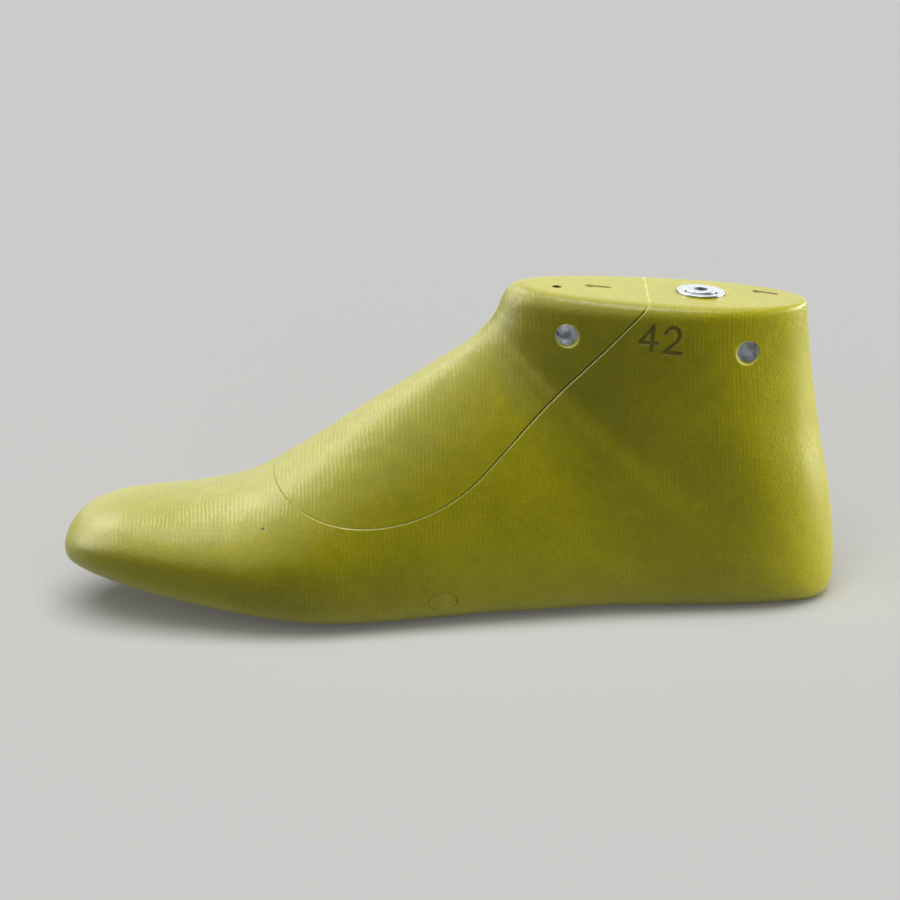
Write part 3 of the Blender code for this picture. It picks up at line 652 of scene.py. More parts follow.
def block_outline(incline_gap, scoop_gap, top_gap):
    """The instep block's room in the XZ plane, with its cut face moved in by the gaps."""
    beyond = cut_foot() + (CUT_LENGTH + OVERRUN) * CUT_ALONG + top_gap * CUT_OUT
    closed = cut_foot() + (CUT_LENGTH - TOP_GRIP) * CUT_ALONG + top_gap * CUT_OUT
    opened = closed + (incline_gap - top_gap) * CUT_OUT
    rear, front = scoop_centres()
    points = [(beyond.x, CUT_ROOF), beyond[:], closed[:], opened[:]]
    bend = arc(rear, SCOOP_REAR_RADIUS, CUT_ANGLE, 0.0)
    for i, (x, z) in enumerate(bend):
        share = i / (len(bend) - 1)
        gap = incline_gap + (scoop_gap - incline_gap) * share
        out = (rear - Vector((x, z))).normalized() * gap
        points.append((x + out.x, z + out.y))
    points += arc(front, SCOOP_FRONT_RADIUS - scoop_gap, 0.0, -SCOOP_FRONT_SWEEP)[1:]
    points.append((points[-1][0], CUT_ROOF))
    return points


def medial_point(tree, x, z):
    """Surface point and outward normal on the medial side."""
    point, normal, _, _ = tree.ray_cast(Vector((x, -CUT_HALF_WIDTH, z)) * MM, Vector((0.0, 1.0, 0.0)))
    return point, normal


def eased(stroke):
    """The stroke's points, evenly spaced and with its corners rounded by averaging neighbours."""
    line = np.array(stroke)
    run = np.append(0.0, np.cumsum(np.linalg.norm(np.diff(line, axis=0), axis=1)))
    count = max(8, round(run[-1] * STROKE_POINTS))
    want = np.linspace(0.0, run[-1], count)
    path = np.column_stack([np.interp(want, run, line[:, axis]) for axis in (0, 1)])
    for _ in range(STROKE_EASING):
        path[1:-1] = 0.25 * path[:-2] + 0.5 * path[1:-1] + 0.25 * path[2:]
    return path


def numeral_tools(tree):
    """Round bars along the strokes of the size number, sunk into the medial side by the engraving's depth."""
    size = sizes()
    depth = size.engraving_depth
    radius = groove_radius(size.numeral_width)
    high = size.numeral_height / MM
    tools = []
    for place, figure in enumerate(SIZE_NUMBER):
        left = NUMERAL_START[0] + place * (NUMERAL_WIDTH + NUMERAL_GAP)
        for stroke in FIGURES[figure]:
            points = []
            for across, up in eased(stroke):
                x = left + across * NUMERAL_WIDTH + NUMERAL_SLANT * up * high
                z = NUMERAL_START[1] + up * high + NUMERAL_SLOPE * (x - NUMERAL_START[0])
                point, normal = medial_point(tree, x, z)
                points.append(point + normal * (radius - depth))
            tools.append(sweep("numeral", points, radius))
    return tools


def groove_radius(width):
    """Radius of a round tool that leaves a groove of this width at the engraving's depth."""
    depth = sizes().engraving_depth
    return (0.25 * width**2 + depth**2) / (2 * depth)


def stroke_tools(name, place):
    """A round-ended groove with a short serif at its front end."""
    radius = groove_radius(sizes().mark_width)
    on_top = rim_matrix(*place)
    lift = radius - sizes().engraving_depth
    end = 0.5 * STROKE_LENGTH - STROKE_END
    front = (-end, 0.0)
    tools = []
    for part, other in ((name, (end, 0.0)), (name + "_serif", (STROKE_SERIF[0] - end, STROKE_SERIF[1]))):
        tools.append(sweep(part, [on_top @ Vector((x * MM, y * MM, lift)) for x, y in (front, other)], radius))
    return tools


def mouth_tool(tree, node, side):
    """A thin ring along a hook hole's mouth on the medial (-1) or lateral (1) side, which eases its edge."""
    centre, _ = centre_of(node)
    across = Vector((0.0, side, 0.0))
    ease = sizes().hole_edge
    bm = bmesh.new()
    rings = []
    for i in range(MOUTH_STEPS):
        a = 2 * math.pi * i / MOUTH_STEPS
        out = Vector((math.cos(a), 0.0, math.sin(a)))
        start = Vector((centre.x, side * CUT_HALF_WIDTH * MM, centre.z)) + 0.5 * HOOK_BORE * MM * out
        point, _, _, _ = tree.ray_cast(start, -across)
        rings.append([bm.verts.new(point + ease * (out * u + across * v)) for u, v in MOUTH_PROFILE])
    skin(bm, rings + rings[:1])
    return to_object(bm, "mouth")


# Turned steel

def rounded(points, radius, steps=4):
    """A closed or open outline of (radius, height) points with each corner marked True eased."""
    out = []
    count = len(points)
    for i, (x, z, ease) in enumerate(points):
        here = Vector((x, z))
        if not ease:
            out.append(here)
            continue
        before = Vector(points[i - 1][:2]) - here
        after = Vector(points[(i + 1) % count][:2]) - here
        reach = min(radius, EASED_SHARE * before.length, EASED_SHARE * after.length)
        a = here + before.normalized() * reach
        b = here + after.normalized() * reach
        for k in range(steps + 1):
            s = k / steps
            out.append((1 - s) ** 2 * a + 2 * s * (1 - s) * here + s**2 * b)
    return out


def turned_tree():
    """Turns a profile of edges, with X outwards and Y along the axis, about the Z axis."""
    tree, add, given = new_tree("Turned Piece", Steps="Int", Material="Material")
    profile = add("GeometryNodeMeshToCurve", given["Geometry"])
    circle = add("GeometryNodeCurvePrimitiveCircle", given["Steps"], Radius=AXIS_RADIUS)
    wall = add("GeometryNodeCurveToMesh", circle, profile)
    closed = add("GeometryNodeMergeByDistance", wall, Distance=WELD)
    real = add("GeometryNodeRealizeInstances", closed)
    add("NodeGroupOutput", add("GeometryNodeSetMaterial", real, Material=given["Material"]))
    return tree


def set_inputs(mod, **values):
    """Sets a Geometry Nodes modifier's inputs by their sockets' identifiers."""
    for item in mod.node_group.interface.items_tree:
        key = item.name.replace(" ", "_")
        if item.item_type == "SOCKET" and item.in_out == "INPUT" and key in values:
            mod[item.identifier] = values[key]


def turned(name, profile, matrix, material, closed=False, steps=TURNED_STEPS):
    """A profile of (radius, height) points in millimetres, turned about the matrix's Z axis."""
    mesh = bpy.data.meshes.new(name)
    edges = [(i, i + 1) for i in range(len(profile) - 1)]
    if closed:
        edges.append((len(profile) - 1, 0))
    mesh.from_pydata([(p[0] * MM, -p[1] * MM, 0.0) for p in profile], edges, [])
    obj = add_object(name, mesh)
    mod = obj.modifiers.new("turned", "NODES")
    mod.node_group = bpy.data.node_groups.get("Turned Piece") or turned_tree()
    set_inputs(mod, Steps=steps, Material=material)
    baked(obj)
    bm = bmesh.new()
    bm.from_mesh(obj.data)
    bmesh.ops.transform(bm, matrix=matrix, verts=bm.verts)
    bmesh.ops.recalc_face_normals(bm, faces=bm.faces[:])
    bm.to_mesh(obj.data)
    bm.free()
    obj.data.set_sharp_from_angle(angle=SMOOTH_BELOW)
    return obj


def screw_tree():
    """Slotted countersunk wood screws, one on each point, turned to its axis attribute."""
    tree, add, given = new_tree("Wood Screws", **dict.fromkeys(WOOD_SCREW, "Float"), Material="Material")
    radius, length, pitch = given["Shank Radius"], given["Length"], given["Pitch"]

    cone = add("GeometryNodeMeshCone", 48, Radius_Top=given["Head Radius"], Radius_Bottom=radius,
               Depth=given["Head Depth"])
    minus_head = add("Math.MULTIPLY", given["Head Depth"], -1.0)
    head = add("GeometryNodeTransform", cone, Translation=add("CombineXYZ", Z=minus_head))
    slot_long = add("Math.MULTIPLY", given["Head Radius"], 3.0)
    slot_deep = add("Math.MULTIPLY", given["Slot Depth"], 2.0)
    slot = add("GeometryNodeMeshCube", add("CombineXYZ", slot_long, given["Slot Width"], slot_deep))
    slotted = add("GeometryNodeMeshBoolean.DIFFERENCE", head, slot, solver="EXACT")

    body_length = add("Math.SUBTRACT", length, given["Tip"])
    shank = add("GeometryNodeMeshCylinder", 32, Radius=radius, Depth=body_length)
    low = add("Math.SUBTRACT", add("Math.MULTIPLY", body_length, -0.5), given["Slot Depth"])
    shank_set = add("GeometryNodeTransform", shank, Translation=add("CombineXYZ", Z=low))
    tip = add("GeometryNodeMeshCone", 32, Radius_Top=radius, Radius_Bottom=0.0, Depth=given["Tip"])
    tip_low = add("CombineXYZ", Z=add("Math.MULTIPLY", length, -1.0))
    tip_set = add("GeometryNodeTransform", tip, Translation=tip_low)

    turns = add("Math.MULTIPLY", add("Math.DIVIDE", body_length, pitch), THREADED)
    rise = add("Math.MULTIPLY", body_length, -THREADED)
    helix = add("GeometryNodeCurveSpiral", 24, turns, radius, radius, rise)
    start = add("CombineXYZ", Z=add("Math.MULTIPLY", rise, THREAD_START))
    helix_set = add("GeometryNodeTransform", helix, Translation=start)
    profile = add("GeometryNodeCurvePrimitiveCircle", 4, Radius=add("Math.MULTIPLY", pitch, THREAD_RADIUS))
    thread = add("GeometryNodeCurveToMesh", helix_set, profile, Fill_Caps=True)

    joined = add("GeometryNodeJoinGeometry")
    for part in (slotted, shank_set, tip_set, thread):
        tree.links.new(part.outputs[0], joined.inputs[0])
    axis = add("GeometryNodeInputNamedAttribute", "axis", data_type="FLOAT_VECTOR")
    turn = add("FunctionNodeAlignRotationToVector", Vector=axis, axis="Z")
    placed = add("GeometryNodeInstanceOnPoints", given["Geometry"], Instance=joined, Rotation=turn)
    real = add("GeometryNodeRealizeInstances", placed)
    add("NodeGroupOutput", add("GeometryNodeSetMaterial", real, Material=given["Material"]))
    return tree


def wood_screws(name, places, material):
    """Screws with their heads on each matrix's XY plane and their shanks down its -Z."""
    mesh = bpy.data.meshes.new(name)
    mesh.from_pydata([m.translation[:] for m in places], [], [])
    axis = mesh.attributes.new("axis", "FLOAT_VECTOR", "POINT")
    for item, m in zip(axis.data, places):
        item.vector = m.to_3x3() @ UP
    obj = add_object(name, mesh)
    mod = obj.modifiers.new("screws", "NODES")
    mod.node_group = bpy.data.node_groups.get("Wood Screws") or screw_tree()
    set_inputs(mod, **WOOD_SCREW, Material=material)
    return baked(obj)


# Materials

def turned_plastic():
    """High-density polyethylene, turned on a copying lathe and left as cut.

    The eye sees a satin olive skin with fine torn rings, crossed by faint rows of the cutter's bites, that catch
    the light, stains, painted shade on the cone's sides and low on the waist, and paler edges where the saw has
    parted it, with a painted highlight along them.
    """
    size = sizes()
    smooth = {"interpolation_type": "SMOOTHSTEP"}
    mat, add = new_material("hdpe_lathe_turned")
    place = add("TexCoord").outputs["Object"]
    x, y, z = add("SeparateXYZ", place).outputs
    drift = add("TexNoise", place, Scale=38.0, Detail=2.0)
    angle = add("Math.ARCTAN2", y, add("Math.SUBTRACT", z, LATHE_AXIS))

    # Rings, one for each turn of the lathe
    feed = add("Math.MULTIPLY_ADD", x, 1 / size.ridge_pitch, add("Math.MULTIPLY", angle, 1 / (2 * math.pi)))
    ring = add("Math.MULTIPLY_ADD", drift, 2.2, feed)
    ridge = add("MapRange", add("Math.PINGPONG", ring, 0.5), 0.0, 0.5, **smooth)

    # Bites along each ring, from the blades of the cutter
    row = add("Math.MULTIPLY_ADD", drift, 4.0, add("Math.MULTIPLY", angle, 0.045 / size.bite_pitch))
    shifted = add("Math.MULTIPLY_ADD", feed, 0.12, row)
    bite = add("MapRange", add("Math.PINGPONG", shifted, 0.5), 0.0, 0.5, **smooth)

    # Torn strands between the rings, which run aslant round the back of the heel
    torn_place = add("CombineXYZ", ring, add("Math.MULTIPLY", row, 0.3))
    torn = add("TexNoise", torn_place, Scale=1.5, Detail=2.0)
    climb = add("Math.MULTIPLY_ADD", z, -0.5 / size.ridge_pitch, feed)
    slant_place = add("CombineXYZ", climb, add("Math.MULTIPLY", z, 0.1 / size.bite_pitch))
    slant = add("TexNoise", slant_place, Scale=1.7, Detail=1.0)
    strands = add("Mix", add("MapRange", x, 0.106, 0.12), A=torn, B=slant)

    # The rings show most on the instep, come and go with the bites, and end before the back of the heel
    patches = add("TexNoise", place, Scale=160.0, Detail=3.0)
    broken = add("MapRange", patches, 0.35, 0.6, 0.35, 1.0)
    ahead = add("MapRange", x, 0.035, -0.015, 0.24, 0.52)
    rear = add("MapRange", x, 0.104, 0.12, 1.0, 0.0)
    high = add("MapRange", z, 0.02, 0.055, 0.4, 1.25)
    ring_share = add("Math.MULTIPLY", add("Math.MULTIPLY", ahead, rear), high)
    cuts = add("Math.MULTIPLY_ADD", bite, 0.08, add("Math.MULTIPLY", ridge, ring_share))
    tooling = add("Math.MULTIPLY_ADD", strands, 1.4, cuts)
    grain = add("TexNoise", place, Scale=850.0, Detail=2.0, Roughness=0.6)
    grained = add("Math.MULTIPLY_ADD", grain, 0.6, add("Math.MULTIPLY", tooling, broken))

    # The toe is rubbed smoother, the cone top is planed, and the saw has scraped the skin along the cut
    toe = add("MapRange", x, -0.125, -0.08, 0.4, 1.0)
    level = cone_top()[0].dot(top_normal())
    rise = add("VectorMath.DOT_PRODUCT", place, top_normal()).outputs["Value"]
    planed = add("MapRange", rise, level - 0.0008, level - 0.0002, 1.0, 0.25)
    height = add("Math.MULTIPLY", grained, add("Math.MULTIPLY", toe, planed))
    edge = add("Attribute", attribute_name="cut_distance").outputs["Fac"]
    relief = add("Math.ADD", height, add("MapRange", edge, 0.0, 0.00045, -2.4, 0.0))
    bump = add("Bump", Height=relief, Distance=size.ridge_depth)

    # Stains, crests paler from wear, painted shade on the sides, torn fibres and a dark pit
    mottle = add("TexNoise", place, Scale=22.0, Detail=5.0, Roughness=0.62)
    crest = add("MapRange", height, 0.5, 1.9, 0.9, 1.1)
    shade = add("Math.MULTIPLY", add("MapRange", mottle, 0.3, 0.65, 0.89, 1.06), crest)
    # Each mark paints shade on the sides, where the light falls less, and leaves the cone top as it is
    for (mark_x, mark_z), (width, tall), dark in PAINTED_SHADE_MARKS:
        across = add("Mapping", place, (-mark_x / width, 0.0, -mark_z / tall),
                     Scale=(1 / (width * MM), 0.0, 1 / (tall * MM)))
        reach = add("VectorMath.LENGTH", across).outputs["Value"]
        side = add("MapRange", planed, 0.3, 1.0, 1.0, dark)
        shade = add("Math.MULTIPLY", shade, add("MapRange", reach, 0.3, 1.1, side, 1.0, **smooth))
    fibre = add("Mapping", place, Rotation=(0.0, 0.25, 0.0), Scale=(420.0, 700.0, 1500.0))
    hairs = add("TexNoise", fibre, Scale=1.0, Detail=3.0, Roughness=0.7)
    combed = add("Math.MULTIPLY", shade, add("MapRange", hairs, 0.3, 0.7, 0.9, 1.1))
    pit_off = add("VectorMath.DISTANCE", place, Vector(DARK_PIT) * MM).outputs["Value"]
    value = add("Math.MULTIPLY", combed, add("MapRange", pit_off, 0.0005, 0.0008, 0.12))
    tint = add("HueSaturation", Value=value, Color=(*colours().plastic, 1.0))

    # The pale, frayed edge that the saw has left, partly a painted highlight, less bright on the sides than on the
    # top
    frayed = add("Math.MULTIPLY_ADD", patches, 0.0012, edge)
    fuzz = add("Math.MULTIPLY_ADD", grain, 0.0006, frayed)
    # The sawn colour mixed in along the cut is partly the paler plastic and partly a painted highlight on the edge
    near = add("MapRange", fuzz, 0.0009, 0.0013, add("MapRange", planed, 0.3, 1.0, 1.0, 0.75), 0.0)
    skin_with_painted_edge_highlight = add("Mix", near, A_Color=tint, B_Color=(*colours().sawn, 1.0), data_type="RGBA").outputs[2]
    shader = add("BsdfPrincipled", Base_Color=skin_with_painted_edge_highlight, Normal=bump, Roughness=0.38, IOR=1.48,
                 Specular_Tint=(0.92, 0.94, 0.94, 1.0))
    add("OutputMaterial", shader)
    return mat


def plain_material(name, colour, scale, detail, shade, bump=0.0, rough=None, **sockets):
    """A material whose tint, and bump or roughness, follow one noise of this scale along X, Y and Z."""
    mat, add = new_material(name)
    place = add("Mapping", add("TexCoord").outputs["Object"], Scale=scale)
    noise = add("TexNoise", place, Scale=1.0, Detail=detail)
    if bump:
        sockets["Normal"] = add("Bump", Height=noise, Distance=bump)
    if rough:
        sockets["Roughness"] = add("MapRange", noise, 0.0, 1.0, *rough)
    tint = add("HueSaturation", Value=add("MapRange", noise, 0.0, 1.0, *shade), Color=(*colour, 1.0))
    add("OutputMaterial", add("BsdfPrincipled", Base_Color=tint, **sockets))
    return mat


def sawn_plastic():
    """Polyethylene where a saw or mill has parted it: paler and duller, with fine straight score lines."""
    return plain_material("hdpe_sawn", colours().sawn, (1400.0, 60.0, 1400.0), 2.0, (0.85, 1.1), bump=0.00006,
                          Roughness=0.55, IOR=1.52)


def stamped_plastic():
    """Polyethylene pressed by a stamp: smooth grooves painted darker than the skin, for their dirt and painted
    shade.
    """
    return plain_material("hdpe_stamped", colours().stamped, (700.0, 700.0, 700.0), 3.0, (0.7, 1.25), bump=0.00005,
                          Roughness=0.6, IOR=1.48)


def plug_plastic():
    """Polyethylene rod, glued in and sanded nearly flush: finely scratched and slightly darker."""
    return plain_material("hdpe_sanded", colours().plug, (300.0, 300.0, 1800.0), 3.0, (0.85, 1.1), bump=0.00008,
                          Roughness=0.42, IOR=1.52)


def zinc_plate():
    """Steel turned or pressed, then bright zinc plated: near white, with a faint crystalline haze."""
    return plain_material("steel_zinc_plated", colours().zinc, (900.0, 900.0, 900.0), 3.0, (0.88, 1.05),
                          rough=(0.2, 0.42), Metallic=1.0)


def drawn_tube():
    """Steel tube, cold drawn and bare: bluish grey, pitted with old scale, dark where grease has gathered, with
    fine scratches along its length.
    """
    mat, add = new_material("steel_cold_drawn")
    place = add("TexCoord").outputs["Object"]
    lines = add("TexNoise", add("Mapping", place, Scale=(2500.0, 90.0, 2500.0)), Scale=1.0, Detail=2.0)
    scale = add("TexNoise", place, Scale=1500.0, Detail=3.0)
    bump = add("Bump", Height=add("Math.MULTIPLY_ADD", scale, 6.0, lines), Distance=0.00005)
    smear = add("Mapping", place, Scale=(420.0, 80.0, 420.0))
    grease = add("TexNoise", smear, Scale=1.0, Detail=4.0, Roughness=0.6)
    clean = add("MapRange", grease, 0.38, 0.56, 0.4, 1.15)
    shade = add("Math.MULTIPLY", clean, add("MapRange", lines, 0.0, 1.0, 0.75, 1.1))
    tint = add("HueSaturation", Value=shade, Color=(*colours().tube, 1.0))
    rough = add("MapRange", lines, 0.0, 1.0, 0.45, 0.65)
    add("OutputMaterial", add("BsdfPrincipled", Base_Color=tint, Normal=bump, Roughness=rough, Metallic=1.0))
    return mat


def spring_strip():
    """Spring steel strip, hardened and tempered: dark blue-grey with a thin oil film's gloss."""
    return plain_material("steel_tempered_strip", colours().spring, (260.0, 260.0, 260.0), 3.0, (0.7, 1.15),
                          rough=(0.2, 0.45), Metallic=1.0)


def studio_paper():
    """Matte background paper, so fine that only its even grey shows. It throws less light back than it shows,
    and glossy surfaces see it fade into the dark studio in front.
    """
    grey = (*colours().paper, 1.0)
    mat, add = new_material("paper_matte")
    place = add("TexCoord").outputs["Object"]
    path = add("LightPath").outputs
    seen = add("Math.MAXIMUM", path["Is Camera Ray"], path["Is Glossy Ray"])
    shown = add("Math.MAXIMUM", seen, path["Is Transmission Ray"])
    fibre = add("MapRange", add("TexNoise", place, Scale=700.0, Detail=2.0), 0.0, 1.0, 0.995, 1.005)
    even = add("Math.MULTIPLY", add("MapRange", shown, 0.0, 1.0, PAPER_BOUNCE), fibre)
    fade = add("MapRange", add("SeparateXYZ", place).outputs["Y"], -0.06, -0.32, 0.0, 0.85)
    kept = add("Math.SUBTRACT", 1.0, add("Math.MULTIPLY", fade, path["Is Glossy Ray"]))
    tint = add("HueSaturation", Value=add("Math.MULTIPLY", even, kept), Color=grey)
    glow = add("Math.MULTIPLY", add("Math.MULTIPLY", shown, kept), PAPER_GLOW)
    shader = add("BsdfPrincipled", Base_Color=tint, Roughness=0.9, Specular_IOR_Level=0.0, Emission_Color=grey,
                 Emission_Strength=glow)
    add("OutputMaterial", shader)
    return mat


def material(name, maker):
    """The material of that name, made once."""
    return bpy.data.materials.get(name) or maker()


def centre_of(node):
    low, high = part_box(node)
    return 0.5 * (Vector(low) + Vector(high)), Vector(high) - Vector(low)


# Operators

def mark_cut(obj):
    """Stores each point's distance from the saw's gap, for the pale edge and painted highlight, narrower on the
    block.
    """
    mesh = obj.data
    points = np.empty(3 * len(mesh.vertices), dtype=np.float32)
    mesh.vertices.foreach_get("co", points)
    x, z = points.reshape(-1, 3)[:, 0] / MM, points.reshape(-1, 3)[:, 2] / MM
    foot = cut_foot()
    rear, front = scoop_centres()
    along = (x - foot.x) * CUT_ALONG.x + (z - foot.y) * CUT_ALONG.y
    straight = (x - foot.x) * CUT_OUT.x + (z - foot.y) * CUT_OUT.y
    rear_arc = SCOOP_REAR_RADIUS - np.hypot(x - rear.x, z - rear.y)
    front_arc = SCOOP_FRONT_RADIUS - np.hypot(x - front.x, z - front.y)
    off = np.where(along > 0, straight, np.where(x > rear.x, rear_arc, front_arc))
    kerf = 0.5 * np.where(along > 0, sizes().incline_gap, sizes().scoop_gap) / MM
    off = np.maximum(np.abs(off - kerf) - kerf, 0.0) + np.where(off > kerf, BLOCK_EDGE, 0.0)
    mesh.attributes.new("cut_distance", "FLOAT", "POINT").data.foreach_set("value", off * MM)


def tube_length(size):
    """Length of a hook tube between the plastic lips of its hole, in millimetres."""
    return (size.y - 2 * sizes().hole_lip) / MM


def hook_rooms(node):
    """The room of a hook tube between its plastic lips, and its bore."""
    centre, size = centre_of(node)
    place = Matrix.Translation(centre) @ Matrix.Rotation(math.radians(90), 4, "X")
    return [
        rod("tube_room", size.x / MM + TUBE_PLAY, tube_length(size) + TUBE_PLAY, place),
        rod("tube_bore", HOOK_BORE, 2 * CUT_HALF_WIDTH, place),
    ]


def screw_rooms(places, length, middle):
    """Bores for wood screws, with their middles this far out from the incline."""
    return [rod("screw_room", SCREW_ROOM, length, incline_matrix(along, middle), steps=24) for along in places]


def body_rooms(tree, sawn):
    """What is cut out of the body: the block's room and the fittings' rooms."""
    flange = 0.5 * flange_diameter() + FIT
    collar = COLLAR_RADIUS + FIT
    sleeve = 0.5 * SLEEVE_DIAMETER + FIT
    under = FLANGE_PROUD - FLANGE_THICKNESS - FIT
    floor = -SLEEVE_LENGTH - FIT
    room = [
        (0.0, OVERRUN), (flange, OVERRUN), (flange, under), (collar, under),
        (collar, -COLLAR_ROOM), (sleeve, -COLLAR_ROOM), (sleeve, floor), (0.0, floor),
    ]
    wide = PLUG_WIDTH + 2 * PLUG_GAP
    plug_room = plug_frame(tree) @ Matrix.Translation(UP * ((OVERRUN - 0.5 * PLUG_ROOM) * MM))
    bed = -FLUSH - TONGUE_THICKNESS - FIT
    return [
        prism("block_room", block_outline(0.0, 0.0, 0.0), CUT_HALF_WIDTH),
        *hook_rooms("rear_hook_tube"),
        turned("thimble_room", room, rim_matrix(*thimble_place()), sawn),
        rod("plug_room", wide, PLUG_ROOM, plug_room, squash=(PLUG_HEIGHT + 2 * PLUG_GAP) / wide),
        slab("tongue_room", TONGUE_LENGTH + 2 * FIT, TONGUE_WIDTH + 2 * FIT, bed, OVERRUN, TONGUE_MIDDLE),
        *screw_rooms(TONGUE_SCREWS, *BODY_SCREW_ROOM),
    ]


def block_rooms():
    """What is cut out of the block: the hook hole and the keeper's room."""
    back = KEEPER_LOW + KEEPER_LIP + KEEPER_CAVITY + KEEPER_FLOOR + FIT
    outer = RAIL_HEAD_WIDTH + 2 * FIT + 2 * KEEPER_WALL + 2 * FIT
    end = KEEPER_START + KEEPER_LENGTH + FIT
    return [
        *hook_rooms("front_hook_tube"),
        slab("keeper_room", end + KEEPER_RUNOUT, outer, -OVERRUN, back, 0.5 * (end - KEEPER_RUNOUT)),
        *screw_rooms(KEEPER_SCREWS, *BLOCK_SCREW_ROOM),
    ]


class SHOELAST_OT_plastic(bpy.types.Operator):
    """Lofts the last, parts it along the cut and takes out the rooms of its fittings"""

    bl_idname = "shoe_last.plastic"
    bl_label = "Plastic Body and Block"

    def execute(self, context):
        size = sizes()
        sawn = material("hdpe_sawn", sawn_plastic)
        body = whole_last("body_plastic")
        body.data.materials.append(material("hdpe_lathe_turned", turned_plastic))
        block = add_object("block_plastic", body.data.copy())
        tree = surface_tree(body)
        gaps = [gap / MM for gap in (size.incline_gap, size.scoop_gap, size.top_gap)]
        shape = prism("block_shape", block_outline(*gaps), CUT_HALF_WIDTH)
        cut(block, [shape], sawn, "INTERSECT")
        cut(block, block_rooms(), sawn)
        cut(body, body_rooms(tree, sawn), sawn)
        cut(block, [mouth_tool(tree, "front_hook_tube", side) for side in (-1, 1)], sawn)
        cut(body, [mouth_tool(tree, "rear_hook_tube", side) for side in (-1, 1)], sawn)
        stamped = material("hdpe_stamped", stamped_plastic)
        pin = [
            (0.0, PIN_FLARE), (0.5 * PIN_MOUTH + PIN_FLARE, PIN_FLARE), (0.5 * PIN_HOLE_DIAMETER, -PIN_NECK),
            (0.5 * PIN_HOLE_DIAMETER, -PIN_HOLE_DEPTH), (0.0, -PIN_HOLE_DEPTH),
        ]
        pin_hole = turned("pin_hole", pin, rim_matrix(*PIN_HOLE), None, steps=40)
        cut(block, stroke_tools("block_stroke", BLOCK_STROKE) + [pin_hole], stamped)
        cut(body, stroke_tools("body_stroke", BODY_STROKE) + numeral_tools(tree), stamped)
        for piece, node, home in ((body, "last_body", "body"), (block, "instep_block", "block")):
            mark_cut(piece)
            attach(piece, home)
            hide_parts(node)
        return {"FINISHED"}


def surface_tree(obj):
    bpy.context.view_layer.update()
    return BVHTree.FromObject(obj, bpy.context.evaluated_depsgraph_get())


def thimble_place():
    """The thimble's x and y on the cone top, in millimetres."""
    low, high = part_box("jack_thimble")
    y = 0.5 * (low[1] + high[1]) / MM
    normal = top_normal()
    radius = 0.5 * flange_diameter()
    proud_edge = high[0] / MM - radius * normal.z - FLANGE_PROUD * normal.x
    return proud_edge, y


def flange_diameter():
    low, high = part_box("jack_thimble")
    return (high[1] - low[1]) / MM


def plug_frame(tree):
    """A frame on the surface over the plug, with Z outwards."""
    point, normal = medial_point(tree, PLUG_X, PLUG_Z)
    return Matrix.Translation(point) @ normal.to_track_quat("Z", "Y").to_matrix().to_4x4()


class SHOELAST_OT_plug(bpy.types.Operator):
    """Fills the old hole in the waist with an oval plug"""

    bl_idname = "shoe_last.plug"
    bl_label = "Waist Plug"

    def execute(self, context):
        whole = whole_last("whole_last")
        place = plug_frame(surface_tree(whole)) @ Matrix.Translation(UP * (-(PLUG_BELOW + 0.5 * PLUG_LENGTH) * MM))
        drop([whole])
        plug = rod("oval_plug", PLUG_WIDTH, PLUG_LENGTH, place, squash=PLUG_HEIGHT / PLUG_WIDTH, edge=PLUG_EDGE)
        plug.data.materials.append(material("hdpe_sanded", plug_plastic))
        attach(plug, "body")
        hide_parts("waist_plug")
        return {"FINISHED"}


class SHOELAST_OT_hook_tubes(bpy.types.Operator):
    """Lines the two cross holes with steel tubes"""

    bl_idname = "shoe_last.hook_tubes"
    bl_label = "Hook Tubes"

    def execute(self, context):
        steel = material("steel_cold_drawn", drawn_tube)
        for node, home in (("front_hook_tube", "block"), ("rear_hook_tube", "body")):
            centre, size = centre_of(node)
            outer = 0.5 * size.x / MM
            inner = 0.5 * HOOK_BORE
            half = 0.5 * tube_length(size)
            corners = [(outer, half, True), (outer, -half, True), (inner, -half, True), (inner, half, True)]
            across = Matrix.Rotation(math.radians(-90), 4, "X")
            liner = turned(node.replace("tube", "liner"), rounded(corners, TUBE_EDGE),
                           Matrix.Translation(centre) @ across, steel, closed=True)
            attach(liner, home)
            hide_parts(node)
        return {"FINISHED"}


